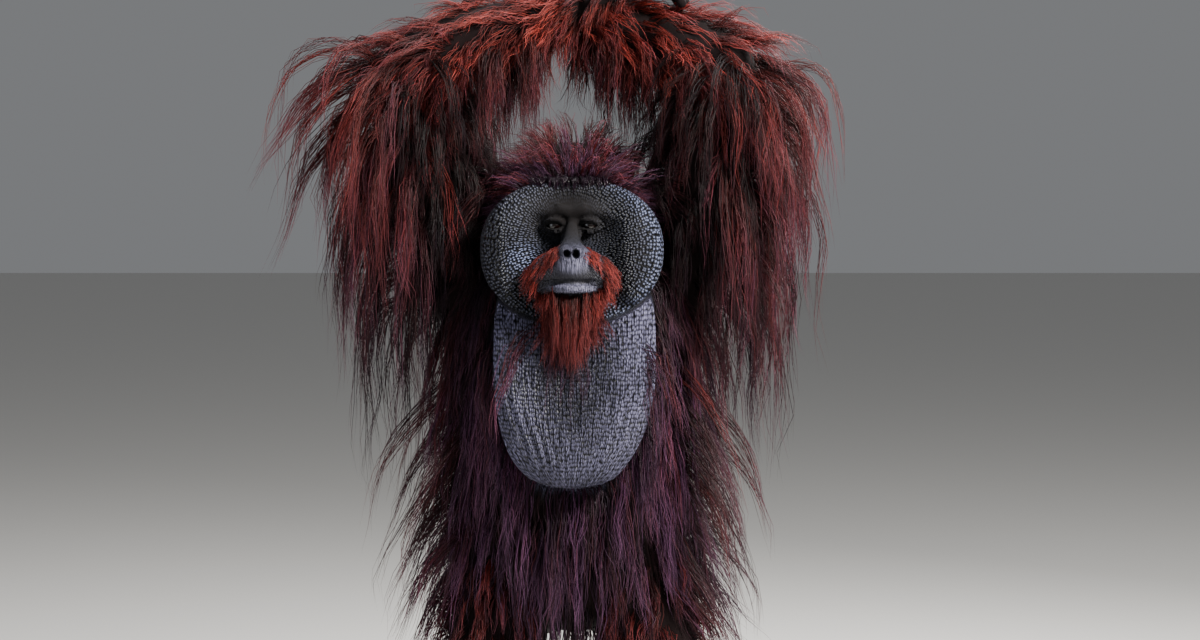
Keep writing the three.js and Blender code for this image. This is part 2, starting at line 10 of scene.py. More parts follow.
import bpy
import numpy as np
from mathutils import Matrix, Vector

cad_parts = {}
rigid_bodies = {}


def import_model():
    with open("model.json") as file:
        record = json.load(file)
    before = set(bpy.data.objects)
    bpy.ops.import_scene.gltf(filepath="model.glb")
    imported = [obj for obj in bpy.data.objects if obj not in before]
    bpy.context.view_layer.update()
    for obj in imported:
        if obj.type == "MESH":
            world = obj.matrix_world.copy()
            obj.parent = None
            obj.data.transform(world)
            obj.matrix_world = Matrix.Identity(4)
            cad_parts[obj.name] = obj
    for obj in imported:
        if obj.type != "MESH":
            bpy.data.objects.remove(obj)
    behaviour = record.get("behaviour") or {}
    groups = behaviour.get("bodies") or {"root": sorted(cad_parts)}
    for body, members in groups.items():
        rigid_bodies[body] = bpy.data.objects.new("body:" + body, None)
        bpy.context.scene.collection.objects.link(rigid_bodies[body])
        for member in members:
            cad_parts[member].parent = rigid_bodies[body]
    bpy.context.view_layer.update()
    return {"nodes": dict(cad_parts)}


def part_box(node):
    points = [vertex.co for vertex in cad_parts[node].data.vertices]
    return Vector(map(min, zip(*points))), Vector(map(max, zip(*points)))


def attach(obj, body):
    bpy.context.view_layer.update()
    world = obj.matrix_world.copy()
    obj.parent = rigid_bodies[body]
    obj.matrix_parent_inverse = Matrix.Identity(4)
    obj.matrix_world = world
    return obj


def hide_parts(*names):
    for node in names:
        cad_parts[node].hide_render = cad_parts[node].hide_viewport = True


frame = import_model()
bpy.ops.object.select_all(action="DESELECT")
print("CAD nodes:", len(frame["nodes"]))

# %% [markdown]
# The body's sizes are easiest to read from its own middle plane, in millimetres. The two eyes
# lie at the same distance from that plane, so their CAD boxes tell where it is.

# %% Body axes
EYE_PLACE = np.array([30.0, -127.0, 1121.0])
EYE_RADIUS = 12.5 - 0.4  # a little less than the CAD eye's


def eye_middle(node):
    low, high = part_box(node)
    return (np.array(low) + np.array(high)) / 2


left_eye, right_eye = eye_middle("eye_left"), eye_middle("eye_right")
MIDDLE = (left_eye + right_eye) / 2 - np.array([0, EYE_PLACE[1], EYE_PLACE[2]]) / 1000
MIDDLE[2] = 0


def placed(points):
    """Body millimetres as metres in the CAD frame."""
    return np.asarray(points, float) / 1000 + MIDDLE


print("middle of the body:", MIDDLE.round(4))

# %% [markdown]
# The camera stands six metres in front of the face, a little above its eyes, with a long
# lens. It comes first, so that every later cell can be looked at.

# %% Camera
FRAME_WIDTH = 2.04  # metres across the picture at the face
DISTANCE = 6.0
CAMERA_RISE = 0.39  # metres above the place it looks at
LOOKED_AT = [48, -130, 960]


def aimed(thing, place, target):
    """Turns a camera or a light from its place to its target."""
    thing.location = place
    thing.rotation_euler = (Vector(target) - Vector(place)).to_track_quat("-Z", "Y").to_euler()


target = placed(LOOKED_AT)
bpy.ops.object.camera_add()
camera = bpy.context.object
camera.data.lens = camera.data.sensor_width * DISTANCE / FRAME_WIDTH
aimed(camera, target + np.array([0.0, -DISTANCE, CAMERA_RISE]), target)
bpy.context.scene.camera = camera
print("lens in mm:", round(camera.data.lens, 1))

# %% [markdown]
# A limb is a tube through a few stations: a place, half its width and half its depth. The same
# tube tells where its skin is, which way a hair leaves it, and how far a hanging hair must
# stay out to lie on it. So skin and coat can't drift apart. The arms differ only in where
# their wrists and knuckles are, because one forearm crosses in front of the other.

# %% Limbs
HIP, KNEE, ANKLE = [100, 35, 505], [182, -88, 300], [158, 52, 82]
SHOULDER, ELBOW = [200, 58, 1030], [280, -4, 1392]
WRIST = {1: [-16, 112, 1492], -1: [-16, -4, 1500]}
KNUCKLES = {1: [-112, 108, 1530], -1: [-112, 22, 1545]}


def unit(v):
    return v / np.maximum(np.linalg.norm(v, axis=-1, keepdims=True), 1e-9)


def spline(knots, u):
    """A smooth curve through the knots, at shares u of its length in knots."""
    knots = np.asarray(knots, float)
    ends = np.vstack([2 * knots[0] - knots[1], knots, 2 * knots[-1] - knots[-2]])
    x = np.clip(u, 0, 1) * (len(knots) - 1)
    i = np.minimum(x.astype(int), len(knots) - 2)
    t = (x - i)[:, None]
    a, b, c, d = ends[i], ends[i + 1], ends[i + 2], ends[i + 3]
    bend, twist = 2 * a - 5 * b + 4 * c - d, 3 * b - a - 3 * c + d
    return 0.5 * (2 * b + (c - a) * t + bend * t**2 + twist * t**3)


class Limb:
    """A tube that reads its line, its two half widths and its directions from tables."""

    COUNT = 49

    def __init__(self, stations, wide, side=1):
        u = np.linspace(0, 1, self.COUNT)
        self.line = spline([s[0] for s in stations], u)
        self.half = spline([s[1:] for s in stations], u)
        self.along = unit(np.gradient(self.line, axis=0))
        wide = np.asarray(wide, float)
        self.wide = unit(wide - self.along * (self.along @ wide)[:, None])
        self.deep = np.cross(self.along, self.wide) * side
        self.length = np.linalg.norm(np.diff(self.line, axis=0), axis=1).sum()

    def read(self, table, u):
        x = np.clip(u, 0, 1) * (self.COUNT - 1)
        i = np.minimum(x.astype(int), self.COUNT - 2)
        t = (x - i)[:, None]
        return table[i] * (1 - t) + table[i + 1] * t

    def at(self, u, angle, scale=1.0):
        """Places on the skin, with the directions out of it and along the limb there."""
        half = self.read(self.half, u)
        wide, deep = self.read(self.wide, u), self.read(self.deep, u)
        c, s = np.cos(angle)[:, None], np.sin(angle)[:, None]
        reach = half * np.reshape(scale, (-1, 1))
        place = self.read(self.line, u) + wide * c * reach[:, :1] + deep * s * reach[:, 1:]
        out = unit(wide * c / half[:, :1] + deep * s / half[:, 1:])
        return place, out, unit(self.read(self.along, u))

    def push(self, points, clearance):
        """Moves points that are closer to the skin than the clearance out to it."""
        offset = points[:, None] - self.line[None]
        miss = np.abs(np.einsum("pik,ik->pi", offset, self.along))
        near = miss.argmin(1)
        away = offset[np.arange(len(points)), near]
        along = self.along[near]
        away = away - along * (away * along).sum(1, keepdims=True)
        reach = self.half[near] + clearance[:, None]
        x = (away * self.wide[near]).sum(1) / reach[:, 0]
        y = (away * self.deep[near]).sum(1) / reach[:, 1]
        share = np.maximum(np.hypot(x, y), 1e-3)
        inside = (share < 1) & (miss.min(1) < self.length / 40)
        return points + away * np.where(inside, 1 / share - 1, 0)[:, None]


def mirrored(place, side):
    return [place[0] * side, place[1], place[2]]


def between(a, b, t):
    return [p + (q - p) * t for p, q in zip(a, b)]


def limb_through(a, b, stations, wide, side):
    """A straight limb; each station is a share of the way, half its width and half its depth."""
    return Limb([(between(a, b, t), w, d) for t, w, d in stations], wide, side)


SIDES = {1: "left", -1: "right"}
torso = Limb(
    [
        ([0, 40, 400], 95, 85),
        ([0, 30, 490], 165, 128),
        ([0, 8, 610], 192, 152),
        ([0, 0, 740], 198, 156),
        ([0, 10, 880], 205, 146),
        ([0, 32, 985], 200, 128),
        ([0, 50, 1060], 150, 112),
    ],
    [1, 0, 0],
)
UP = [0, 0, 1]
UPPER_ARM = [(-0.16, 66, 72), (0.12, 80, 84), (0.45, 68, 72), (0.8, 56, 60), (1.08, 48, 52)]
FOREARM = [(-0.1, 46, 50), (0.15, 58, 60), (0.4, 58, 56), (0.75, 42, 44), (1, 31, 37)]
THIGH = [(-0.12, 78, 88), (0.3, 84, 90), (0.7, 66, 70), (1.08, 54, 56)]
SHANK = [(-0.05, 50, 50), (0.3, 54, 58), (0.7, 42, 46), (1.02, 36, 40)]
limbs = {"torso": torso}
for side, name in SIDES.items():
    shoulder, elbow = mirrored(SHOULDER, side), mirrored(ELBOW, side)
    hip, knee, ankle = (mirrored(p, side) for p in (HIP, KNEE, ANKLE))
    wrist = mirrored(WRIST[side], side)
    out = [side, 0, 0]
    for part, start, end, wide, stations in (
        ("upper_arm_", shoulder, elbow, out, UPPER_ARM),
        ("forearm_", elbow, wrist, UP, FOREARM),
        ("thigh_", hip, knee, out, THIGH),
        ("shank_", knee, ankle, out, SHANK),
    ):
        limbs[part + name] = limb_through(start, end, stations, wide, side)
sac = Limb(
    [
        ([4, -70, 1050], 118, 30),
        ([5, -88, 985], 136, 44),
        ([5, -124, 920], 140, 60),
        ([4, -156, 850], 138, 66),
        ([0, -174, 770], 122, 62),
        ([0, -180, 706], 86, 46),
        ([0, -178, 676], 38, 22),
    ],
    [1, 0, 0],
)
print("limbs:", len(limbs), "and the sac", round(sac.length), "mm long")

# %% [markdown]
# A head has no stations: it is a skull, a plate of cheek pads, a muzzle and many small folds
# that melt into each other. A distance field does this well. Each form gives the distance to
# its surface, and a smooth minimum joins two forms with a soft blend, or digs one out.

# %% Forms of the head
HEAD_MIDDLE = (0, 30, 1112)
DISC_Z = 1078  # height of the middle of the disc that both cheek pads make
DISC_WIDE, DISC_UP, DISC_DOWN = 157, 122, 120
DISC_CORNER = 1.125  # 1 is an oval, and more gives fuller corners


def ellipsoid(p, centre, radii):
    q = (p - centre) / radii
    k = np.linalg.norm(q, axis=1)
    return k * (k - 1) / np.maximum(np.linalg.norm(q / radii, axis=1), 1e-6)


def rod(p, a, b, ra, rb):
    """Distance to a rod with round ends and its own radius at each end."""
    a, b = np.asarray(a, float), np.asarray(b, float)
    t = np.clip((p - a) @ (b - a) / ((b - a) @ (b - a)), 0, 1)
    return np.linalg.norm(p - a - t[:, None] * (b - a), axis=1) - (ra + (rb - ra) * t)


def blend(a, b, soft):
    h = np.clip(0.5 + 0.5 * (b - a) / soft, 0, 1)
    return b + (a - b) * h - soft * h * (1 - h)


def dig(a, b, soft):
    return -blend(-a, b, soft)


def disc_share(x, dz, wider=0, taller=0):
    """0 in the middle of the disc and 1 at its rim, which may be moved out a little."""
    across = np.abs(x / (DISC_WIDE + wider)) ** DISC_CORNER
    up = np.abs(dz / (np.where(dz > 0, DISC_UP, DISC_DOWN) + taller)) ** DISC_CORNER
    return np.hypot(across, up) ** (1 / DISC_CORNER)


def pads(p):
    """The plate of both cheek pads and the forehead, thickest half way out."""
    x, dz = np.abs(p[:, 0]), p[:, 2] - DISC_Z
    ratio = disc_share(x, dz)
    bulge = np.exp(-(((x - 108) / 38) ** 2)) * np.exp(-(((dz + 12) / 112) ** 4))
    middle = -102 - 22 * bulge + 0.0008 * dz**2 * (dz > 0)
    plate = np.abs(p[:, 1] - middle) - 30 * (0.7 + 0.42 * bulge)
    return -blend(-plate, -(ratio - 1) * 130, 24)


def both(p):
    """Folds a point to the animal's left, so that a form is made on both sides."""
    q = p.copy()
    q[:, 0] = np.abs(q[:, 0])
    return q


def lid_ring(q, z, lift, radius):
    """A lid is a roll round the eyeball, above or below the slit."""
    x = q[:, 0] - EYE_PLACE[0]
    arc = z + lift * (1 - (x / 17) ** 2)
    depth = EYE_PLACE[1] - np.sqrt(np.maximum(15.0**2 - 0.75 * x**2, 1)) + 1.5
    thinned = radius * np.clip(1.25 - np.abs(x / 19) ** 2, 0, 1)
    return np.sqrt((q[:, 2] - arc) ** 2 + (q[:, 1] - depth) ** 2) - thinned


def head_field(p):
    """Distance to the head's surface in mm, below 0 inside it."""
    q = both(p)
    # Skull, its back, and the face behind the disc
    field = ellipsoid(p, [0, 30, 1165], [92, 108, 96])
    field = blend(field, ellipsoid(p, [0, 66, 1080], [102, 82, 98]), 40)
    field = blend(field, ellipsoid(p, [0, -46, 1085], [98, 76, 104]), 30)
    field = blend(field, pads(p), 8)
    # Face: sockets, brow, bridge of the nose, muzzle
    field = dig(field, ellipsoid(q, [38, -160, 1117], [38, 36, 25]), 18)
    field = dig(field, ellipsoid(q, [27, -150, 1119], [22, 26, 13]), 10)
    field = blend(field, ellipsoid(q, [24, -122, 1144], [40, 13, 10]), 20)
    field = blend(field, ellipsoid(p, [0, -150, 1041], [66, 76, 45]), 14)
    field = blend(field, ellipsoid(q, [38, -172, 1040], [30, 40, 27]), 14)
    field = blend(field, rod(p, [0, -132, 1122], [0, -200, 1086], 8, 16), 14)
    field = blend(field, ellipsoid(p, [0, -190, 1070], [32, 40, 22]), 14)
    field = blend(field, ellipsoid(p, [0, -164, 1004], [50, 48, 24]), 10)
    # The fold like a U between the brows, with a crease above it
    ring = np.hypot(p[:, 0] + 2, p[:, 2] - 1166) - 23
    fold = np.hypot(ring, p[:, 1] + 130) - 3.5 + np.maximum(p[:, 2] - 1150, 0) * 0.5
    field = blend(field, fold, 13)
    field = dig(field, rod(p, [-4, -137, 1156], [-4, -135, 1190], 1.5, 2.5), 5)
    field = dig(field, ellipsoid(q, [15, -140, 1168], [9, 7, 12]), 7)
    # Lids round the eyeballs
    field = blend(field, ellipsoid(q, EYE_PLACE, [17, 13.6, 14.5]), 6)
    field = blend(field, lid_ring(q, 1126.5, 5.0, 3.4), 5)
    field = blend(field, lid_ring(q, 1114.0, -4.0, 3.0), 5)
    # Wings of the nose, mouth and lower lip
    field = blend(field, ellipsoid(q, [10.5, -222, 1081], [10, 12, 10]), 5)
    x2 = (p[:, 0] / 50) ** 2
    lip = np.hypot(p[:, 1] + 224 - 42 * x2, (p[:, 2] - 1018 + 3 * x2) * 1.1)
    mouth = np.hypot((p[:, 1] + 232 - 42 * x2) * 0.45, p[:, 2] - 1030 + 3 * x2)
    field = blend(field, lip - 8.0 + 5 * np.maximum(x2 - 0.6, 0), 5)
    return dig(field, mouth - 4.6 + 4 * np.maximum(x2 - 0.8, 0), 4)


STRIDE = 5.0  # mm between the places where a line from outside is tried
HALVINGS = 8  # after these the surface is known to 0.02 mm


def head_reach(direction, centre=HEAD_MIDDLE):
    """Where a line that comes in from outside towards the centre meets the head."""
    centre = np.asarray(centre, float)
    reach = np.full(len(direction), 300.0)
    open_air = np.ones(len(direction), bool)
    while open_air.any():
        reach[open_air] -= STRIDE
        index = np.flatnonzero(open_air)
        inside = head_field(centre + direction[index] * reach[index, None]) < 0
        open_air[index[inside]] = False
    low, high = reach, reach + STRIDE
    for _ in range(HALVINGS):
        middle = (low + high) / 2
        inside = head_field(centre + direction * middle[:, None]) < 0
        low, high = np.where(inside, middle, low), np.where(inside, high, middle)
    return centre + direction * low[:, None]


print("face at the brow:", head_reach(unit(np.array([[0.0, -1.0, 0.2]]))).round())

# %% [markdown]
# Each limb starts as a UV sphere whose rings are moved to the limb's stations: that gives a
# closed, round-ended tube with even faces. Joined and remeshed together, they become one skin
# with no seams where arm meets shoulder.

# %% Rough forms of the body
def mesh_points(obj):
    flat = np.empty(len(obj.data.vertices) * 3)
    obj.data.vertices.foreach_get("co", flat)
    return flat.reshape(-1, 3)


def set_points(obj, points):
    obj.data.vertices.foreach_set("co", np.ascontiguousarray(points, float).ravel())
    obj.data.update()


def round_form(name, facets, rings, place):
    """A sphere whose points are put in place by a function of its unit directions."""
    bpy.ops.mesh.primitive_uv_sphere_add(segments=facets, ring_count=rings, radius=1)
    obj = bpy.context.object
    obj.name = name
    set_points(obj, placed(place(mesh_points(obj))))
    return obj


def tube(name, limb, facets=40, rings=34, cap=0.13):
    def place(v):
        u = np.arccos(np.clip(-v[:, 2], -1, 1)) / math.pi
        end = 1 - np.minimum(1, np.minimum(u, 1 - u) / cap)
        return limb.at(u, np.arctan2(v[:, 1], v[:, 0]), np.sqrt(np.maximum(1 - end**2, 0)))[0]

    return round_form(name, facets, rings, place)


def ball(name, centre, radii):
    return round_form(name, 28, 18, lambda v: v * radii + np.asarray(centre, float))


def digit(name, points, thickness):
    """A finger or a toe that gets thinner at each joint."""
    stations = [(p, thickness * (1 - 0.09 * i), thickness * (0.95 - 0.09 * i)) for i, p in enumerate(points)]
    return tube(name, Limb(stations, [0, 0, 1]), 16, 16, 0.1)


def hand(side):
    """Palm, four long fingers hooked over the other arm, and a short thumb."""
    wrist, knuckles = mirrored(WRIST[side], side), mirrored(KNUCKLES[side], side)
    palm = limb_through(wrist, knuckles, [(-0.1, 25, 33), (0.4, 23, 42), (1.05, 18, 46)], UP, side)
    forms = [tube("palm", palm)]
    for finger in range(4):
        y = knuckles[1] + (finger - 1.5) * 23
        reach = -side * (1 - 0.08 * abs(finger - 1.3))
        x, z = knuckles[0], knuckles[2]
        joints = [
            [x + side * 12, y, z],
            [x + 38 * reach, y * 0.98, z - 4],
            [x + 72 * reach, y * 0.96, z - 24],
            [x + 92 * reach, y * 0.94, z - 54],
        ]
        forms.append(digit("finger", joints, 12.5))
    root, middle, tip = (between(wrist, knuckles, t) for t in (0.25, 0.5, 0.72))
    joints = [
        root,
        [middle[0], middle[1] + side * 42, middle[2]],
        [tip[0], tip[1] + side * 52, tip[2] - 12],
    ]
    forms.append(digit("thumb", joints, 11))
    return forms


def foot(side):
    """A long flat sole, four curled toes and a great toe that stands apart."""
    x, y = ANKLE[0] * side, ANKLE[1]
    sole = Limb(
        [
            ([x, y + 34, 26], 27, 25),
            ([x, y + 5, 41], 36, 41),
            ([x + side * 6, y - 65, 27], 41, 27),
            ([x + side * 14, y - 135, 19], 43, 19),
        ],
        [1, 0, 0],
    )
    forms = [tube("sole", sole)]
    for toe in range(4):
        spread = toe - 1.5
        root = [x + side * (14 + spread * 21), y - 118, 23]
        reach = 86 - 7 * abs(spread)
        joints = [
            root,
            [root[0] + side * spread * 3, root[1] - reach * 0.45, 31],
            [root[0] + side * spread * 5, root[1] - reach * 0.85, 23],
            [root[0] + side * spread * 4, root[1] - reach, 10],
        ]
        forms.append(digit("toe", joints, 12))
    joints = [[x - side * 18, y - 42, 21], [x - side * 52, y - 70, 21], [x - side * 66, y - 100, 12]]
    forms.append(digit("great_toe", joints, 14.5))
    return forms


def from_front(turn, tilt):
    """Directions: turn goes round as seen from the front, and tilt leans away from the front."""
    return np.stack([np.sin(tilt) * np.cos(turn), -np.cos(tilt), np.sin(tilt) * np.sin(turn)], 1)


def head_form(v):
    """The sphere's pole points out of the face, with rings that crowd together over it."""
    polar = np.arccos(np.clip(v[:, 2], -1, 1)) / math.pi
    tilt = math.pi * (0.25 * polar + 0.75 * polar**1.6)
    return head_reach(from_front(np.arctan2(v[:, 1], v[:, 0]), tilt))


forms = [round_form("skin", 128, 90, head_form)]
forms += [tube(name, limb) for name, limb in limbs.items()]
forms.append(tube("sac", sac, 64, 48, 0.1))
forms.append(ball("neck", [0, 10, 1010], [110, 100, 90]))
for side in SIDES:
    forms += hand(side) + foot(side)
    forms.append(ball("shoulder", [side * 165, 50, 1000], [88, 82, 84]))
    forms.append(ball("seat", [side * 78, 70, 480], [92, 92, 96]))
    forms.append(ball("ear", [side * 111, 22, 1128], [12, 16, 23]))
print("rough forms:", len(forms))

# %% [markdown]
# Voxel remesh casts all forms into one closed skin. Sharp steps where two forms met are then
# eased with a Smooth modifier. The face gets far more points than the trunk, which the coat
# hides: its faces are subdivided, and the trunk's are thinned by a Decimate modifier.

# %% One skin
VOXEL = 0.0062  # metres, fine enough for the tips of fingers and toes


def only(obj):
    bpy.ops.object.select_all(action="DESELECT")
    obj.select_set(True)
    bpy.context.view_layer.objects.active = obj


def apply_modifier(obj, kind, **settings):
    only(obj)
    modifier = obj.modifiers.new(kind.lower(), kind)
    for key, value in settings.items():
        setattr(modifier, key, value)
    bpy.ops.object.modifier_apply(modifier=modifier.name)


skin = forms[0]
only(skin)
for form in forms:
    form.select_set(True)
bpy.ops.object.join()
skin.location = (0, 0, 0)
apply_modifier(skin, "REMESH", mode="VOXEL", voxel_size=VOXEL)


def body_points():
    return (mesh_points(skin) - MIDDLE) * 1000


def group(name, weights):
    """A vertex group with these weights, for a modifier to read."""
    made = skin.vertex_groups.new(name=name)
    for i in np.flatnonzero(weights > 0.01):
        made.add([int(i)], float(weights[i]), "REPLACE")
    return made.name


def soft_step(x, low, high):
    t = np.clip((x - low) / (high - low), 0, 1)
    return t * t * (3 - 2 * t)


def off_face(p):
    """1 on the body, 0 on the face, hands and feet."""
    face = soft_step(-p[:, 1], 40, 60) * soft_step(p[:, 2], 960, 1000)
    return (1 - face) * soft_step(p[:, 2], 95, 130) * (1 - soft_step(p[:, 2], 1440, 1470))


ease = group("ease", off_face(body_points()))
apply_modifier(skin, "SMOOTH", factor=0.5, iterations=12, vertex_group=ease)
print("skin faces:", len(skin.data.polygons))

# %% Finer faces on the face and the sac, fewer on the trunk
def select_faces(wanted):
    """Selects the skin's faces whose middle points pass the test."""
    only(skin)
    bpy.ops.object.mode_set(mode="EDIT")
    bpy.ops.mesh.select_mode(type="FACE")
    bpy.ops.mesh.select_all(action="DESELECT")
    bpy.ops.object.mode_set(mode="OBJECT")
    count = len(skin.data.polygons)
    middles = np.empty(count * 3)
    skin.data.polygons.foreach_get("center", middles)
    middles = (middles.reshape(-1, 3) - MIDDLE) * 1000
    skin.data.polygons.foreach_set("select", wanted(middles))
    bpy.ops.object.mode_set(mode="EDIT")


def subdivide(wanted):
    select_faces(wanted)
    bpy.ops.mesh.subdivide(number_cuts=1)
    bpy.ops.object.mode_set(mode="OBJECT")


def on_face(p):
    return (p[:, 1] < -84) & (p[:, 2] > 968) & (p[:, 2] < 1206) & (np.abs(p[:, 0]) < 165)


def on_sac(p):
    return (p[:, 1] < -150) & (p[:, 2] < 1030) & (p[:, 2] > 660) & (np.abs(p[:, 0]) < 150)


def on_muzzle(p):
    return (p[:, 1] < -108) & (np.abs(p[:, 0]) < 62) & (p[:, 2] > 1004) & (p[:, 2] < 1162)


TRUNK_KEPT = 0.42  # the share of faces left after thinning
trunk = group("trunk", off_face(body_points()) * (1 - on_sac(body_points())))
apply_modifier(skin, "DECIMATE", ratio=TRUNK_KEPT, vertex_group=trunk, vertex_group_factor=1.0)
subdivide(lambda p: on_face(p) | on_sac(p))
subdivide(on_muzzle)
print("skin faces:", len(skin.data.polygons))

# %% [markdown]
# The remesh only came near the face's own surface. Each new point now walks along the field's
# slope until its distance is zero, which brings back lids, lips and folds. The slits between
# the lids and the nostrils are too narrow for that, so they are pressed in afterwards.

# %% Points settle on the face
def slope(field, p, step=0.6):
    axes = np.eye(3) * step
    return np.stack([field(p + a) - field(p - a) for a in axes], 1) / (2 * step)


points = body_points()
near = np.flatnonzero((np.abs(head_field(points)) < 7) & (points[:, 1] < -50) & (points[:, 2] > 985))
walk = points[near]
for _ in range(5):
    value = head_field(walk)
    normal = slope(head_field, walk)
    walk -= normal * np.clip(value / np.maximum((normal**2).sum(1), 0.3), -3, 3)[:, None]
clear_of_sac = soft_step(walk[:, 2], 990, 1015)[:, None]
points[near] = points[near] * (1 - clear_of_sac) + walk * clear_of_sac


def sink(p, x, z, radii, depth, rise=0.0):
    """Presses an oval part of the face straight back, on both sides."""
    oval = ((np.abs(p[:, 0]) - x) / radii[0]) ** 2 + ((p[:, 2] - z) / radii[1]) ** 2
    deep = depth * (1 - soft_step(oval, 0.3, 1.1)) * (p[:, 1] < -100) * (p[:, 1] > -260)
    p[:, 1] += deep
    p[:, 2] += deep * rise


sink(points, x=30, z=1120.5, radii=(14.5, 4.4), depth=12)  # between the lids
sink(points, x=7.7, z=1076, radii=(6.8, 8.2), depth=17, rise=0.5)  # nostrils
points[:, 2] = np.maximum(points[:, 2], 0)  # soles flat on the floor
set_points(skin, placed(points))
print("points settled:", len(near))

# %% [markdown]
# The throat sac hangs as a full pouch. Its skin is drawn into fine folds that run down it and
# close in at its lower end. The folds are moved points, with finer ones in the bump.

# %% Folds of the throat sac
CLOSING_Z, CLOSING_DROP = 890, 222  # where the pouch begins to close, and how far below it has


def skin_normals():
    flat = np.empty(len(skin.data.vertices) * 3)
    skin.data.vertices.foreach_get("normal", flat)
    return flat.reshape(-1, 3)


def down_the_sac(x, z):
    """The same number along each line that runs down the pouch, as a longitude does."""
    closed = np.maximum(CLOSING_Z - z, 0) / CLOSING_DROP
    return x / np.sqrt(np.maximum(1 - closed**2, 0.08))


def triangles(obj):
    return sum(len(p.vertices) - 2 for p in obj.data.polygons)


points = body_points()
x, z = points[:, 0], points[:, 2]
pouch = on_sac(points) & (head_field(points) > 4)
folds = np.sin(down_the_sac(x, z) / 3.1 + 1.4 * np.sin(z / 41) + 0.9 * np.sin(z / 17 + x / 30))
height = np.where(pouch, 0.8 * folds, 0) * soft_step(1015 - z, 0, 40)
set_points(skin, placed(points + skin_normals() * height[:, None]))
only(skin)
bpy.ops.object.shade_smooth()
print("skin triangles:", triangles(skin))

# %% [markdown]
# Shader maths reads better as Python expressions. A small class wraps a socket, so that
# `noise * 0.5 + 0.2` adds its Math nodes by itself.

# %% Shader expressions
class Value:
    """An output socket that can stand in an expression."""

    def __init__(self, shader, socket):
        self.shader, self.socket = shader, socket

    def math(self, operation, *others, swap=False):
        values = [*others, self] if swap else [self, *others]
        return self.shader.node("ShaderNodeMath", {"operation": operation}, dict(enumerate(values)))

    def __add__(self, other):
        return self.math("ADD", other)

    def __sub__(self, other):
        return self.math("SUBTRACT", other)

    def __rsub__(self, other):
        return self.math("SUBTRACT", other, swap=True)

    def __mul__(self, other):
        return self.math("MULTIPLY", other)

    def __pow__(self, other):
        return self.math("POWER", other)

    __radd__, __rmul__ = __add__, __mul__

    def between(self, low, high):
        """0 below low, 1 above high, and smooth between."""
        settings = {"interpolation_type": "SMOOTHSTEP"}
        return self.shader.node("ShaderNodeMapRange", settings, {0: self, 1: low, 2: high})


class Shader:
    """A new material, with its Principled shader ready."""

    def __init__(self, name):
        self.material = bpy.data.materials.new(name)
        self.material.use_nodes = True
        self.tree = self.material.node_tree
        self.surface = self.tree.nodes["Principled BSDF"]

    def node(self, kind, settings=None, inputs=None, output=0):
        made = self.tree.nodes.new(kind)
        for key, value in (settings or {}).items():
            setattr(made, key, value)
        for key, value in (inputs or {}).items():
            self.put(made.inputs[key], value)
        return Value(self, made.outputs[output])

    def put(self, socket, value):
        if isinstance(value, Value):
            self.tree.links.new(value.socket, socket)
        else:
            socket.default_value = value

    def set(self, **inputs):
        for key, value in inputs.items():
            self.put(self.surface.inputs[key.replace("_", " ")], value)

    def place(self):
        return self.node("ShaderNodeTexCoord", output="Object")

    def attribute(self, name, output="Fac"):
        return self.node("ShaderNodeAttribute", {"attribute_name": name}, output=output)

    def noise(self, vector, scale, detail=2.0, output=0):
        inputs = {"Vector": vector, "Scale": scale, "Detail": detail}
        return self.node("ShaderNodeTexNoise", None, inputs, output)

    def stretched(self, vector, scale):
        return self.node("ShaderNodeMapping", None, {"Vector": vector, "Scale": scale})

    def mixed(self, share, a, b, blend_type="MIX"):
        """Two colours, mixed by a share from 0 to 1."""
        settings = {"data_type": "RGBA", "blend_type": blend_type}
        return self.node("ShaderNodeMix", settings, {0: share, 6: a, 7: b}, output=2)

    def bump(self, height, distance):
        inputs = {"Height": height, "Strength": 1.0, "Distance": distance}
        return self.node("ShaderNodeBump", None, inputs)


def colour(red, green, blue):
    """A screen colour, from 0 to 255, as the linear colour a shader takes."""
    return (*(((c / 255) ** 2.2) for c in (red, green, blue)), 1.0)


print("shader helper ready")

# %% [markdown]
# The face and sac are dark grey leather, set with small raised scales in rows. Bluish highlights
# are painted on the scales, and shade is painted into the sockets, nostrils, lid slits, sac grooves
# and under the upper lip. Under the coat the skin is dark brown, near black as painted shade in the
# gaps of the coat. Masks written as attributes of the skin tell the shader where each region lies.

# %% Regions of the skin
def add_attribute(obj, name, values):
    made = obj.data.attributes.new(name, "FLOAT", "POINT")
    made.data.foreach_set("value", np.ascontiguousarray(values, np.float32))


def spot(x, z, centre, radii, edge):
    """An oval patch of the face: 1 in its middle, falling off faster for a higher edge."""
    share = ((x - centre[0]) / radii[0]) ** 2 + ((z - centre[1]) / radii[1]) ** 2
    return np.exp(-(share**edge))


points = body_points()
x, y, z = points.T
ax = np.abs(x)
forward = -y
rim = disc_share(x, z - DISC_Z, 3, 2)
face = soft_step(forward, 60, 74) * (1 - soft_step(rim, 0.97, 1.03)) * soft_step(z, 950, 962)
pouch = soft_step(forward, 78, 100) * soft_step(rim, 0.98, 1.03) * soft_step(1020 - z, 0, 20)
pouch = pouch * soft_step(z, 655, 670) * (1 - soft_step(ax, 143, 150))
muzzle = spot(ax, z, (0, 1046), (66, 50), 1.5) * soft_step(forward, 130, 160)
# Painted shade: the sockets and the band round the deep-set eyes are darkened almost to black.
sockets = spot(x, z, (-4, 1138), (74, 52), 2) * soft_step(forward, 84, 96) * soft_step(z, 1080, 1108)
nose = spot(x, z, (3, 1068), (31, 24), 2) * soft_step(forward, 180, 200)
# Painted shade: the pale tone is left out in a band under the overhang of the upper lip.
nose *= 1 - np.exp(-(((z - 1036) / 9) ** 2))
lip = spot(x, z, (3, 1019), (43, 8), 3) * soft_step(forward, 170, 190)
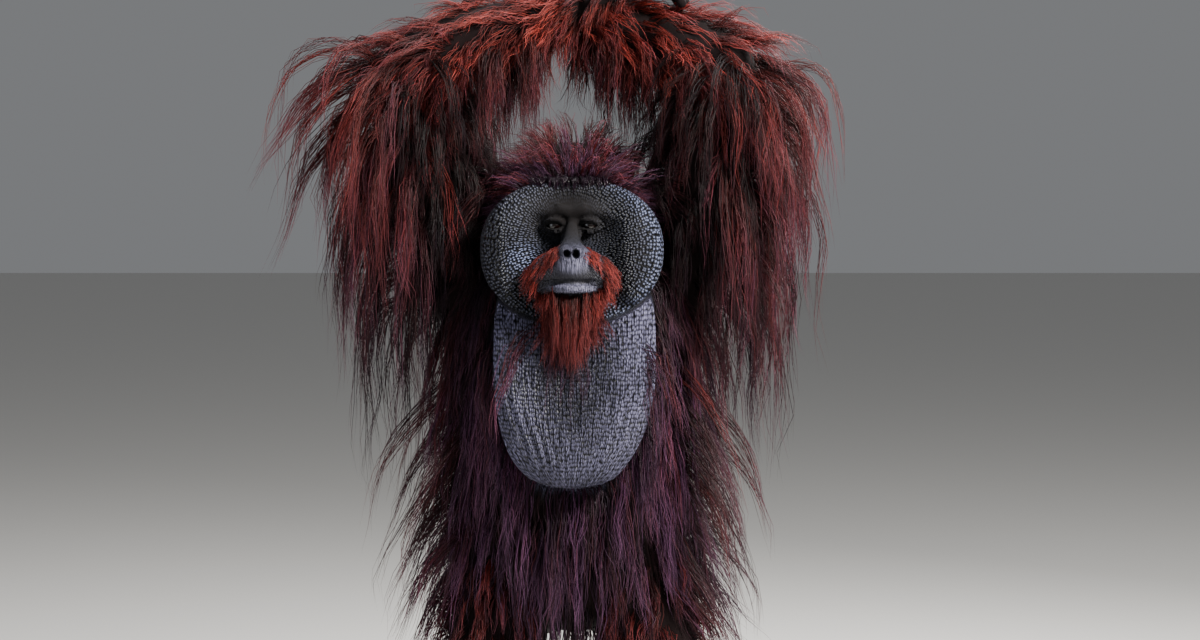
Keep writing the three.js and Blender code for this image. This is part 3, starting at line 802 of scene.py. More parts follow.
# Painted shade: nostrils and the slits between the lids are coloured near black.
nostrils = spot(ax, z, (7.9, 1075.5), (6.5, 7.5), 2) * soft_step(forward, 180, 200)
slits = spot(ax, z, (30, 1120.5), (17, 7.5), 2) * soft_step(forward, 84, 96)
# Painted highlights: a bluish patch of light on the right cheek pad, and the lit outer rim of the left pad.
lit_cheek = spot(x, z, (-84, 1066), (24, 22), 1.2) * 0.9
lit_rim = soft_step(rim, 0.75, 0.97) * soft_step(x, 40, 120) * 0.5
for name, values in {
    "bare": np.maximum(face, pouch),
    "pouch": pouch,
    "muzzle": muzzle,
    "sockets": sockets,
    "pale": np.maximum(nose, lip * 0.75),
    "glint": (lit_cheek + lit_rim) * face,
    "holes": np.maximum(nostrils, slits),
    # edge is painted shade: the middle of the sac, where the beard shades it, is darker, and its sides
    # lighter.
    "edge": soft_step(np.hypot(x - 5, (z - 900) * 0.6), 40, 125),
}.items():
    add_attribute(skin, name, values)
print("bare share of the skin's points:", round(float((face + pouch > 0.5).mean()), 2))

# %% [markdown]
# The scales lie in rows that go round each cheek pad and down the sac. A second attribute
# unrolls the skin along those rows, in metres, so that a flat pattern of cells follows them.

# %% Rows of scales
ROWS_Z = 1090  # height of the middle of the pads' rings
ROUND = 105  # mm of pattern in a radian round the pads
DOWN_PADS, DOWN_SAC, ACROSS_SAC = 0.84, 0.64, 1.2  # mm of pattern in a mm of skin


def columns(*parts):
    """Points or directions from their x, y and z, each of which may be one number for all."""
    return np.stack(np.broadcast_arrays(*parts), 1)


from_middle = np.hypot(x, z - ROWS_Z)
over_the_rim = np.clip(from_middle - 120, 0, 40) * soft_step(y, -130, -90)
pad_rows = columns(np.arctan2(x, z - ROWS_Z) * ROUND, DOWN_PADS * from_middle + over_the_rim, 0)
sac_rows = columns(down_the_sac(x, z) * ACROSS_SAC, (z - DISC_Z) * DOWN_SAC, 0)
unrolled = pad_rows * (1 - pouch[:, None]) + sac_rows * pouch[:, None]
made = skin.data.attributes.new("unrolled", "FLOAT_VECTOR", "POINT")
made.data.foreach_set("vector", np.ascontiguousarray(unrolled / 1000, np.float32).ravel())
print("unrolled from", unrolled.min(0).round(), "to", unrolled.max(0).round(), "mm")

# %% Skin material
SCALES = 215.0  # cells in a metre of unrolled skin
RELIEF = 0.0045  # metres that the tallest scale stands up
STRETCH = 0.14  # share of its frequency that a noise keeps along its lines


def skin_material():
    shader = Shader("skin_leather")
    place = shader.place()
    names = ("bare", "pouch", "muzzle", "sockets", "pale", "glint", "holes", "edge")
    bare, pouch, muzzle, sockets, pale, glint, holes, edge = (shader.attribute(n) for n in names)
    # Scales: domes in rows, which a slow noise bends
    flat = shader.attribute("unrolled", "Vector")
    wander = shader.noise(flat, 14.0, 1.0, output="Color")
    inputs = {0: wander, 1: (0.012, 0.012, 0.0), 2: flat}
    bent = shader.node("ShaderNodeVectorMath", {"operation": "MULTIPLY_ADD"}, inputs)
    settings = {"feature": "F1", "voronoi_dimensions": "2D"}
    inputs = {"Vector": bent, "Scale": SCALES, "Randomness": 0.6}
    domes = 1 - shader.node("ShaderNodeTexVoronoi", settings, inputs).between(0.08, 0.74)
    # Fine grain, upright lines on the muzzle, and ridges that run down the sac
    grain = shader.noise(place, 900.0, 3.0)
    lines = shader.noise(shader.stretched(place, (1.0, 1.0, STRETCH)), 380.0)
    ridges = shader.noise(shader.stretched(bent, (1.0, STRETCH, 1.0)), 190.0).between(0.32, 0.66)
    drift = shader.noise(place, 9.0, 1.0)
    scaly = bare * (1 - 0.95 * muzzle) * (1 - sockets)
    height = domes * scaly * (1 - 0.4 * pouch) + grain * 0.05 + ridges * pouch * 0.9
    height = height + lines * muzzle * 0.3
    # Colours, from the pads to the darkest holes
    # Painted highlights: the tops of the scales take a light bluish colour, brighter where the glint mask
    # is, over the dark charcoal skin between them.
    lit = shader.mixed(glint, colour(76, 78, 91), colour(138, 148, 186))
    scales = shader.mixed(domes**2.5 * (0.4 + drift * 0.9), colour(9, 9, 12), lit)
    # Painted light and shade on the sac: ridge and scale tops are lighter, the grooves near black, and the
    # middle darker than the sides.
    sac_light_share = (ridges * 0.7 + 0.3) * domes * (0.26 + edge * 1.1)
    folds = shader.mixed(sac_light_share, colour(9, 8, 12), colour(116, 114, 142))
    tint = shader.mixed(pouch * 0.8, scales, folds)
    # Painted shade in the sockets, over their dark reddish-brown skin, with fine lighter wrinkle lines.
    shadow = shader.mixed(lines, colour(5, 3, 4), colour(18, 11, 11))
    tint = shader.mixed(sockets * 0.97, tint, shadow)
    tint = shader.mixed(muzzle * 0.9, tint, colour(27, 26, 32))
    # The nose and lips are lighter and bluish, with pale upright wrinkle lines.
    pale_tone = shader.mixed(lines.between(0.3, 0.75), colour(50, 51, 65), colour(136, 134, 160))
    tint = shader.mixed(pale * 0.85, tint, pale_tone)
    # Painted shade in the nostrils and the slits between the lids.
    tint = shader.mixed(holes * 0.95, tint, colour(7, 5, 6))
    # Under the coat the skin is dark brown, kept near black so that gaps in the coat show painted shade.
    under_coat = shader.mixed(drift, colour(14, 5, 7), colour(26, 10, 11))
    shader.set(
        Base_Color=shader.mixed(bare, under_coat, tint),
        Roughness=0.92 - scaly * 0.6 - muzzle * 0.35 + grain * 0.08,
        Normal=shader.bump(height, RELIEF),
        Specular_IOR_Level=0.24,
    )
    return shader.material


skin.data.materials.clear()
skin.data.materials.append(skin_material())
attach(skin, "root")
FLESH = [n for n in frame["nodes"] if not n.startswith(("eye_", "beard"))]
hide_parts(*FLESH)
print("the skin stands for", len(FLESH), "nodes")

# %% [markdown]
# The eyes are two plain dark balls with a clear, wet coat. They replace the CAD eyes, which
# have the same middle and are a hair larger.

# %% Eyes
def eye_material():
    shader = Shader("eye_wet")
    shader.set(Base_Color=colour(16, 8, 5), Roughness=0.2, Coat_Weight=0.4)
    return shader.material


dark_eye = eye_material()
for side, name in SIDES.items():
    bpy.ops.mesh.primitive_uv_sphere_add(segments=40, ring_count=26, radius=1)
    eye = bpy.context.object
    eye.name = "eyeball_" + name
    set_points(eye, placed(mesh_points(eye) * EYE_RADIUS + EYE_PLACE * [side, 1, 1]))
    bpy.ops.object.shade_smooth()
    eye.data.materials.append(dark_eye)
    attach(eye, "root")
    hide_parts("eye_" + name)
print("eyes:", len(SIDES))

# %% [markdown]
# The coat is long, thin and heavy: it leaves the skin, turns down under its own weight and
# hangs in strings. A clump's guide is walked step by step, turned a little further down each
# time and kept outside every limb and the face. The clump's strands start round the guide's
# root and draw together towards its tip.

# %% Guides that hang
DOWN = np.array([0.0, 0.0, -1.0])
SKIN_GAP = 3  # mm that every hair stays off the skin
rng = np.random.default_rng(5)
face_space = Limb(
    [([0, 30, 1090], 150, 125), ([0, -60, 1090], 172, 126), ([0, -260, 1080], 176, 126)],
    [1, 0, 0],
)
skull = Limb(
    [
        ([0, 50, 1010], 100, 84),
        ([0, 62, 1080], 102, 84),
        ([0, 32, 1165], 92, 106),
        ([0, 30, 1225], 66, 80),
    ],
    [1, 0, 0],
)
BODIES = [*limbs.values(), sac]
ROUND_FACE = [*BODIES, face_space]


def spread(low, high, count):
    return rng.uniform(low, high, count)


def guides(root, heading, length, fall, rise, bodies, steps=14):
    """Routes from their roots to their tips, as (guides, steps + 1, 3)."""
    point, route = root.copy(), [root]
    for i in range(1, steps + 1):
        s = i / steps
        turn = np.clip(fall * s * 1.4, 0, 1)[:, None]
        point = point + unit(heading * (1 - turn) + DOWN * turn) * (length / steps)[:, None]
        for body in bodies:
            point = body.push(point, SKIN_GAP + rise * s)
        route.append(point)
    route = np.stack(route, 1)
    for _ in range(2):
        route[:, 1:-1] = route[:, 1:-1] / 2 + (route[:, :-2] + route[:, 2:]) / 4
    return route


def along_route(route, s):
    """Points at shares s (strands, points) of each strand's own route."""
    x = np.clip(s, 0, 1) * (route.shape[1] - 1)
    i = np.minimum(x.astype(int), route.shape[1] - 2)
    t = (x - i)[..., None]
    row = np.arange(len(route))[:, None]
    return route[row, i] * (1 - t) + route[row, i + 1] * t


print("bodies that hair is kept out of:", len(ROUND_FACE))


# %% Strands of a clump
CYCLE = 6.28  # radians in a wave, near enough to start one anywhere
SHORT_ONES, LOOSE_ONES = 0.3, 0.18  # shares of the strands
SHORT_END, LONG_START = 0.3, 0.55  # shares of the clump's length
ROOT_DEPTH = 2.5  # mm below the skin
ROOM_LOW, ROOM_HIGH = [-575, -252, 4], [474, 278, 1600]  # the coat's own limits


def strands(route, clump, shift, out, points=7, wave=5.0, bow=14.0, frizz=3.0, kink=1.0, draw=0.75):
    """One path per strand: its clump's route, moved by its own root's shift and cut short.

    wave and bow bend a clump's strands together, frizz and kink bend each on its own, all in
    mm; draw is how far they come together at the tip.
    """
    count, clumps = len(clump), len(route)
    short = rng.random(count) < SHORT_ONES
    cut = np.where(short, spread(SHORT_END, LONG_START, count), spread(LONG_START, 1, count))[:, None]
    s = np.linspace(0, 1, points)[None] * cut
    loose = rng.random(count) < LOOSE_ONES
    own_draw = np.where(loose, 0.15, draw * spread(0.75, 1.12, count))[:, None]
    path = along_route(route[clump], s) + shift[:, None] * (1 - own_draw * s**0.7)[..., None]
    # A bow and a wave that the clump shares, then waves and kinks of the strand's own
    sway = unit(rng.normal(size=(2, clumps, 3)) * [1, 1, 0.3])[:, clump]
    turns = spread(1.1, 2.3, clumps)[clump][:, None]
    phase = spread(0, CYCLE, clumps)[clump][:, None]
    path += sway[0][:, None] * (bow * rng.normal(size=clumps)[clump][:, None] * s**2)[..., None]
    path += sway[1][:, None] * (wave * s * np.sin(CYCLE * turns * s + phase))[..., None]
    own = unit(rng.normal(size=(2, count, 3)))
    size = frizz * spread(0.3, 1.2, count)[:, None] * s
    turns, phase = spread(1, 3, count)[:, None], spread(0, CYCLE, count)[:, None]
    path += own[0][:, None] * (size * np.sin(CYCLE * turns * s + phase))[..., None]
    path += own[1][:, None] * (size * 1.2)[..., None]
    path[:, 1:] += rng.normal(size=(count, points - 1, 3)) * kink
    path[:, 0] -= out * ROOT_DEPTH
    return np.clip(path, ROOM_LOW, ROOM_HIGH)


CORNERS = (0, 2.094, 4.189)  # radians round a strand, which has three sides
FLATNESS = 0.55


def tufts(name, paths, out, width):
    """A mesh of closed, three-sided strands that taper to their tips, and its points per strand."""
    count, length = paths.shape[:2]
    along = unit(np.gradient(paths, axis=1))
    side = unit(np.cross(along[:, 0], out) + 0.2 * rng.normal(size=(count, 3)))
    share = np.linspace(0, 1, length)
    taper = (0.75 + 0.9 * share * (1 - share)) * (1 - share**3)
    rings = []
    for i in range(length - 1):
        side = unit(side - along[:, i] * (side * along[:, i]).sum(1, keepdims=True))
        face = np.cross(along[:, i], side)
        radius = (width / 2 * taper[i])[:, None]
        for angle in CORNERS:
            corner = side * math.cos(angle) + face * math.sin(angle) * FLATNESS
            rings.append(paths[:, i] + radius * corner)
    points = np.stack([*rings, paths[:, -1]], 1)
    per, last = 3 * length - 2, 3 * length - 6
    turns = [(j, (j + 1) % 3) for j in range(3)]
    quads = [(i + a, i + b, i + 3 + b, i + 3 + a) for i in range(0, last, 3) for a, b in turns]
    ends = [(last + a, last + b, per - 1) for a, b in turns] + [(0, 2, 1)]
    start = (np.arange(count) * per)[:, None, None]
    faces = []
    for kind in (quads, ends):
        faces += (np.array(kind)[None] + start).reshape(-1, len(kind[0])).tolist()
    mesh = bpy.data.meshes.new(name)
    mesh.from_pydata(placed(points.reshape(-1, 3)), [], faces)
    return mesh, per


def lot(paths, out, width, unwrap, warmth, light):
    """Strands with all that their mesh needs: where each grows on the unwrap, and its colour."""
    count = len(paths)
    return {
        "paths": paths,
        "out": out,
        "width": spread(*width, count),
        "unwrap": unwrap,
        "warmth": np.clip(warmth, 0, 1),
        "light": light * spread(0.4, 1.6, count),
    }


# %% [markdown]
# Hair of one kind that grows in one place is a lot. The lots of a region are joined as one
# piece. Three numbers on each point tell the shader the tint: how far it is along its strand,
# and its strand's warmth and light. Light is low, as painted shade, for lots that hang in shadow,
# and it also varies at random between strands. Each strand also has a place on an unwrap, for baking.

# %% One coat object from several lots
PATCH = 0.003  # a strand's share of the unwrap, across and along


def coat_piece(name, lots, material):
    """Joins the lots' strands and gives them their colours, unwrap, material and body."""
    made = []
    for k, part in enumerate(lots):
        mesh, per = tufts(f"{name}_{k}", part["paths"], part["out"], part["width"])
        obj = bpy.data.objects.new(mesh.name, mesh)
        bpy.context.scene.collection.objects.link(obj)
        count, length = part["paths"].shape[:2]
        tip = np.tile(np.append(np.repeat(np.linspace(0, 1, length)[:-1], 3), 1.0), count)
        add_attribute(obj, "tip", tip)
        add_attribute(obj, "warmth", np.repeat(part["warmth"], per))
        add_attribute(obj, "light", np.repeat(part["light"], per))
        # Each strand has a small patch of the unwrap, at its root's place
        across = np.tile(np.append(np.tile([0.0, 0.5, 1.0], length - 1), 0.5), count)
        place = np.repeat(0.01 + 0.98 * part["unwrap"], per, axis=0)
        uv = place + (np.stack([across, tip], 1) - 0.5) * PATCH
        corners = np.empty(len(mesh.loops), int)
        mesh.loops.foreach_get("vertex_index", corners)
        mesh.uv_layers.new(name="OFBake").data.foreach_set("uv", uv[corners].ravel())
        made.append(obj)
    only(made[0])
    for obj in made:
        obj.select_set(True)
    if len(made) > 1:
        bpy.ops.object.join()
    coat = made[0]
    coat.name = name
    bpy.ops.object.shade_smooth()
    coat.data.materials.append(material)
    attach(coat, "root")
    print(name, triangles(coat), "triangles")


TINTS = [(0.0, (58, 28, 54)), (0.3, (66, 20, 28)), (0.6, (100, 34, 30)), (1.0, (150, 54, 44))]


def hair_material(name, roughness):
    """Purple through maroon and red to orange by warmth; darker at the root with painted shade, and paler at
    the tip, partly its own tone and partly painted light.
    """
    shader = Shader(name)
    warmth, tip, light = (shader.attribute(n) for n in ("warmth", "tip", "light"))
    hair = colour(*TINTS[0][1])
    for (low, _), (high, tint) in zip(TINTS, TINTS[1:]):
        hair = shader.mixed(warmth.between(low, high), hair, colour(*tint))
    pale = shader.mixed(warmth, colour(150, 110, 144), colour(180, 98, 84))
    hair = shader.mixed(tip.between(0.4, 1.1) * 0.32, hair, pale)
    # Painted shade: every point darkens towards its strand's root, and by its lot's light where the coat
    # hangs in shadow.
    shade = light * (0.22 + tip * 0.85)
    grey = shader.node("ShaderNodeCombineColor", None, {0: shade, 1: shade, 2: shade})
    shaded = shader.mixed(1.0, hair, grey, "MULTIPLY")
    shader.set(Base_Color=shaded, Roughness=roughness, Specular_IOR_Level=0.22)
    return shader.material


HAIR = hair_material("coat_hair", 0.55)
WET = hair_material("coat_wet", 0.2)


# %% [markdown]
# Most hair grows on a limb, so one function plants it: clumps spread evenly over a stretch and
# a sector of the limb, each with a guide of its own and strands rooted round it.

# %% Hair of a limb
GOLDEN = 0.618034  # turning by this share each time spreads clumps evenly round a limb


def limb_lot(
    limb, clumps, each, u, around, length, lift, fall, rise, width, warmth, reach,
    light=1.0, lie=0.0, swirl=0.0, stray=0.12, cell=(0, 1), bodies=BODIES, **ways
):
    """Clumps of hair on a stretch u of a limb, between two angles round it in degrees.

    Each pair of length, lift, fall and warmth runs from the limb's start to its end. lift
    leans a hair out of the skin and lie along the limb, fall turns it down, and rise is how
    far in mm its tip stays off the bodies. reach is a clump's radius in mm, width a strand's,
    and warmth goes from 0 for purple to 1 for orange. cell is the lot's part of the unwrap.
    """
    share = (np.arange(clumps) + spread(0, 1, clumps)) / clumps

    def graded(pair):
        return pair[0] + (pair[1] - pair[0]) * share

    root_u = graded(u)
    turn = (np.arange(clumps) * GOLDEN + 0.3 * spread(0, 1, clumps)) % 1
    angle = np.radians(around[0] + (around[1] - around[0]) * turn)
    root, out, along = limb.at(root_u, angle)
    # The lie of the hair turns in slow swirls over the skin
    veer = swirl * np.sin(9 * root_u + 1.7 * angle + limb.length) * np.cos(2.3 * angle - 4 * root_u)
    lay = along * lie
    lay = lay * np.cos(veer)[:, None] + np.cross(out, lay) * np.sin(veer)[:, None]
    heading = unit(out * graded(lift)[:, None] + lay + stray * rng.normal(size=(clumps, 3)))
    lengths = graded(length) * spread(0.7, 1.15, clumps)
    route = guides(root, heading, lengths, graded(fall), spread(*rise, clumps), bodies)
    clump = np.repeat(np.arange(clumps), each)
    n = len(clump)
    radius, turn = reach * np.sqrt(spread(0, 1, n)), spread(0, CYCLE, n)
    half = limb.read(limb.half, root_u[clump]).mean(1)
    own_u = np.clip(root_u[clump] + radius * np.cos(turn) / limb.length, 0.01, 0.99)
    own_angle = angle[clump] + radius * np.sin(turn) / half
    own_root, own_out, _ = limb.at(own_u, own_angle)
    paths = strands(route, clump, own_root - root[clump], own_out, **ways)
    unwrap = np.stack([cell[0] + (cell[1] - cell[0]) * own_u, (own_angle / math.tau) % 1], 1)
    heat = graded(warmth)[clump] + 0.07 * rng.normal(size=n) + 0.08 * rng.normal(size=clumps)[clump]
    return lot(paths, own_out, width, unwrap, heat, light * spread(0.6, 1.4, clumps)[clump])


# %% [markdown]
# On the forearms the hair is short, fine and combed towards the elbow, with slow swirls. Long
# strings hang from their lower edge, from the elbow and from the whole upper arm. The right
# arm's coat stands out further, and the left arm's hangs closer, with longer strings.

# %% Coat of the arms
for side, name in SIDES.items():
    right = side < 0
    arm, fore = limbs["upper_arm_" + name], limbs["forearm_" + name]
    long_ways = {"wave": 12, "bow": 24, "frizz": 12, "kink": 2.2, "stray": 0.3}
    long_ways |= {"bodies": ROUND_FACE, "width": (1.2, 2.2)}
    drape = limb_lot(
        arm, clumps=148, each=18, u=(0.35, 0.99), around=(-75, 140),
        length=(330, 385) if right else (330, 310), lift=(0.5, 0.8) if right else (0.5, 1.1),
        fall=(1.4, 0.9) if right else (1.5, 1.0), rise=(6, 40), warmth=(0.3, 0.55), light=0.85,
        reach=15, **long_ways
    )
    # Painted shade: the curtain hangs in the arm's shadow, so its light is low.
    curtain = limb_lot(
        arm, clumps=72, each=16, u=(0.04, 0.6), around=(-60, 150),
        length=(430, 400) if right else (380, 450), lift=(0.4, 0.5), fall=(1.6, 1.6),
        rise=(14, 60), warmth=(0.25, 0.4), light=0.45, reach=14, **long_ways
    )
    # Painted shade: the inner arm's hair beside the head is made nearly black with a low light.
    inner = limb_lot(
        arm, clumps=115, each=11, u=(0.1, 0.99), around=(130, 300), length=(150, 230),
        lift=(0.5, 0.8), fall=(1.4, 1.1), rise=(8, 44) if right else (4, 20), width=(1.5, 2.3),
        warmth=(0.2, 0.4), light=0.16, reach=14, bodies=ROUND_FACE, wave=6, frizz=5, points=6,
    )
    ruff = limb_lot(
        arm, clumps=36, each=12, u=(0.25, 0.8), around=(150, 230), length=(170, 170),
        lift=(1.0, 0.8), fall=(1.2, 1.2), rise=(30, 66), width=(1.2, 2.1), warmth=(0.35, 0.45),
        light=0.3, reach=14, bodies=ROUND_FACE, wave=8, frizz=9, points=6,
    )
    coat_piece("coat_upper_arm_" + name, [drape, curtain, inner, ruff], HAIR)
    combed = limb_lot(
        fore, clumps=220, each=13, u=(0.02, 0.99), around=(-160, 160), length=(145, 95), lie=-1.0,
        lift=(0.6, 0.4), fall=(0.5, 0.4), rise=(4, 26), width=(1.2, 2.0), warmth=(0.6, 0.85),
        reach=12, swirl=0.4, stray=0.3, bodies=ROUND_FACE, wave=7, bow=10, frizz=10, kink=1.8,
        points=6,
    )
    strings = limb_lot(
        fore, clumps=95, each=14, u=(0.0, 0.95), around=(120, 290),
        length=(230, 100) if right else (300, 100), lie=-0.6, lift=(0.4, 0.35), fall=(1.4, 1.4),
        rise=(4, 26), width=(1.2, 2.1), warmth=(0.45, 0.6), light=0.9, reach=12, bodies=ROUND_FACE,
        wave=9, bow=16, frizz=7, kink=1.5,
    )
    veil = limb_lot(
        fore, clumps=50, each=14, u=(0.5, 0.72) if right else (0.55, 0.88), around=(110, 260),
        length=(200, 150) if right else (215, 125), lift=(0.3, 0.3), fall=(1.6, 1.6), rise=(4, 26),
        width=(1.2, 2.1), warmth=(0.4, 0.45), light=0.7, reach=13, wave=8, bow=8, frizz=9,
        kink=1.6, points=6,
    )
    wrist, knuckles = mirrored(WRIST[side], side), mirrored(KNUCKLES[side], side)
    hand_stations = [(-0.15, 27, 34), (0.4, 24, 42), (1, 19, 45)]
    back_of_hand = limb_through(wrist, knuckles, hand_stations, UP, side)
    short = limb_lot(
        back_of_hand, clumps=40, each=14, u=(0.0, 0.7), around=(-180, 180), length=(60, 45),
        lie=-0.8, lift=(0.5, 0.5), fall=(0.5, 0.5), rise=(3, 8), width=(1.2, 1.9),
        warmth=(0.6, 0.7), light=0.8, reach=9, wave=3, bow=5, frizz=4, points=5,
    )
    coat_piece("coat_forearm_" + name, [combed, strings, veil, short], HAIR)

# %% [markdown]
# Three heavier locks swing out from the right arm, each in one long curve. Gravity alone can't
# give such a curve, so each lock's route is drawn from its root, by a bend, to its tip.

# %% Three curved locks on the right arm
arm = limbs["upper_arm_right"]
root, out, _ = arm.at(np.array([0.97, 0.8, 0.55]), np.array([0.0, 0.1, 0.0]))
tips = np.array([[-560.0, -60, 1160], [-524, -90, 1010], [-380, -120, 942]])
bend = np.stack([tips[:, 0] * [0.86, 0.88, 0.98], root[:, 1] - 20, root[:, 2] - [30, 40, 60]], 1)
t = np.linspace(0, 1, 15)[None, :, None]
route = root[:, None] * (1 - t) ** 2 + 2 * bend[:, None] * t * (1 - t) + tips[:, None] * t**2
LOCKS, EACH = 3, 60
clump = np.repeat(np.arange(LOCKS), EACH)
shift = rng.normal(size=(LOCKS * EACH, 3)) * 15
bends = {"wave": 8, "bow": 3, "frizz": 7, "kink": 1.6}
paths = strands(route, clump, shift, out[clump], draw=0.85, points=8, **bends)
unwrap = np.stack([0.9 + shift[:, 0] * 0.001, 0.5 + shift[:, 1] * 0.002], 1)
warmth = 0.45 + 0.07 * rng.normal(size=LOCKS * EACH)
locks = lot(paths, out[clump], (1.2, 2.2), unwrap, warmth, 0.9)
coat_piece("coat_locks", [locks], HAIR)

# %% [markdown]
# The back and flanks hang in long, dark curtains. On the chest the purple hair fans out from
# under the throat sac in pointed locks, over the shorter, redder hair of the thighs.

# %% Coat of the trunk
flanks = [
    limb_lot(
        torso, clumps=44, each=17, u=(0.2, 0.66), around=around, length=(300, 330), lie=-0.6,
        lift=(1.0, 0.8), fall=(0.7, 0.7), rise=(50, 120), width=(1.4, 2.4), warmth=(0.25, 0.35),
        light=0.62, reach=18, wave=9, bow=18, frizz=8, kink=1.7,
    )
    for around in ((-35, 40), (140, 215))
]
coat_piece("coat_flanks", flanks, HAIR)
back = limb_lot(
    torso, clumps=290, each=12, u=(0.08, 0.97), around=(-30, 210), length=(230, 300), lie=-1.0,
    lift=(0.8, 0.6), fall=(0.9, 0.9), rise=(16, 70), width=(1.6, 2.7), warmth=(0.2, 0.32),
    light=0.7, reach=24, wave=8, bow=14, frizz=7, kink=1.6,
)
coat_piece("coat_back", [back], HAIR)
# Painted shade: the belly lies in a hollow between the chest hair and the thighs, so its light is low.
belly = limb_lot(
    torso, clumps=100, each=12, u=(0.03, 0.52), around=(190, 350), length=(230, 130), lie=-1.0,
    lift=(0.25, 0.3), fall=(0.8, 0.9), rise=(3, 10), width=(1.4, 2.4), warmth=(0.2, 0.2),
    light=0.3, reach=17, wave=5, bow=10, frizz=6, kink=1.4, points=6,
)
bib = limb_lot(
    torso, clumps=105, each=22, u=(0.3, 0.72), around=(196, 344), length=(200, 230), lie=-1.0,
    lift=(0.5, 0.35), fall=(0.45, 0.8), rise=(20, 56), width=(1.3, 2.2), warmth=(0.02, 0.12),
    reach=24, wave=8, bow=16, frizz=8, kink=1.7, draw=0.9,
)
breast = [
    limb_lot(
        torso, clumps=45, each=15, u=(0.66, 0.99), around=around, length=(150, 190), lie=-1.0,
        lift=(0.5, 0.5), fall=(0.9, 0.9), rise=(6, 30), width=(1.4, 2.4), warmth=(0.1, 0.2),
        light=0.5, reach=17, bodies=ROUND_FACE, wave=7, bow=12, frizz=6, kink=1.4, points=6,
    )
    for around in ((190, 232), (308, 350))
]
under_sac = limb_lot(
    torso, clumps=16, each=16, u=(0.28, 0.42), around=(252, 288), length=(210, 210), lie=-1.0,
    lift=(0.5, 0.5), fall=(0.8, 0.8), rise=(10, 40), width=(1.3, 2.2), warmth=(0.05, 0.1),
    light=0.7, reach=20, bodies=[torso], wave=8, bow=12, frizz=8, kink=1.7, draw=0.9,
)
coat_piece("coat_front", [belly, bib, *breast, under_sac], HAIR)

# %% Coat of the legs
for side, name in SIDES.items():
    thigh, shank = limbs["thigh_" + name], limbs["shank_" + name]
    upper = limb_lot(
        thigh, clumps=105, each=14, u=(0.02, 0.98), around=(-180, 180), length=(130, 110), lie=0.6,
        lift=(0.6, 0.5), fall=(1, 1), rise=(4, 26), width=(1.4, 2.4), warmth=(0.45, 0.5),
        light=0.9, reach=15, wave=6, bow=12, frizz=7, kink=1.8, cell=(0, 0.5), points=6,
    )
    lower = limb_lot(
        shank, clumps=75, each=14, u=(0.02, 0.92), around=(-180, 180), length=(110, 75), lie=0.7,
        lift=(0.3, 0.3), fall=(0.8, 0.8), rise=(3, 14), width=(1.4, 2.2), warmth=(0.4, 0.45),
        light=0.9, reach=12, wave=4, bow=8, frizz=5, kink=1.4, cell=(0.5, 1), points=6,
    )
    coat_piece("coat_leg_" + name, [upper, lower], HAIR)


# %% [markdown]
# The head's hair grows from the skull behind the disc of the face, from the nape, and round
# the muzzle and chin. Most of its roots come from the head's own reach instead of a limb. It
# stands up and out on the crown, where the real hair is short, dry and purple to red.

# %% Hair of the head
def head_lot(
    root, out, heading, length, each, fall, rise, warmth, width, reach, bodies, light, **ways
):
    """Clumps with roots of their own; the other values are as for a limb."""
    clumps = len(root)
    heading = unit(heading + 0.1 * rng.normal(size=(clumps, 3)))
    lengths = length * spread(0.75, 1.15, clumps)
    route = guides(root, heading, lengths, np.full(clumps, fall), spread(*rise, clumps), bodies)
    clump = np.repeat(np.arange(clumps), each)
    n = len(clump)
    shift = rng.normal(size=(n, 3)) * reach / 2
    shift -= out[clump] * (shift * out[clump]).sum(1, keepdims=True)
    paths = strands(route, clump, shift, out[clump], **ways)
    aim = unit(root - HEAD_MIDDLE)[clump]
    longitude, latitude = np.arctan2(aim[:, 0], -aim[:, 1]), np.arcsin(aim[:, 2])
    unwrap = np.stack([longitude / math.tau, latitude / math.pi], 1) + 0.5
    heat = warmth + 0.07 * rng.normal(size=n)
    return lot(paths, out[clump], width, unwrap, heat, light * spread(0.65, 1.35, clumps)[clump])


CROWN_SPAN = (-42, 222)  # degrees round the disc, from its left side over the top
ROOT_Y = -72  # mm; hair of the crown starts behind this
DRY = {"wave": 4, "frizz": 7, "draw": 0.3, "points": 6}


def crown_lot(clumps, rim, y, length, radial, sideways, back, warmth, light):
    """Hair that leaves the head beside and behind the disc's rim, outwards and down both sides."""
    angle = np.radians(spread(*CROWN_SPAN, clumps))
    c, s = np.cos(angle), np.sin(angle)
    corner = 2 * DISC_CORNER
    size = (np.abs(c) ** corner + np.abs(s) ** corner) ** (-1 / corner) * spread(*rim, clumps)
    up = np.where(s > 0, DISC_UP, DISC_DOWN)
    aim = columns(DISC_WIDE * c * size, spread(*y, clumps), DISC_Z + up * s * size)
    out = unit(aim - HEAD_MIDDLE)
    root = head_reach(out)
    down = columns(s, 0, -c) * np.sign(c)[:, None] * np.sqrt(np.abs(c))[:, None]
    heading = columns(c, 0, s) * radial + down * sideways + [0, back, 0]
    # Longest at the two upper corners of the disc
    grown = 0.75 + 0.25 * np.maximum(0, s) + 0.6 * np.maximum(0, 2 * s * np.abs(c)) ** 2
    return head_lot(
        root, out, heading, length=length * grown, each=13, fall=0.3, rise=(4, 8), warmth=warmth,
        width=(1.1, 1.8), reach=12, bodies=[], light=light, bow=7, kink=1.4, **DRY
    )


def dome(turn, sine):
    """Directions: turn goes round the upright axis, and sine is the height."""
    flat = np.sqrt(1 - sine**2)
    return np.stack([flat * np.cos(turn), flat * np.sin(turn), sine], 1)


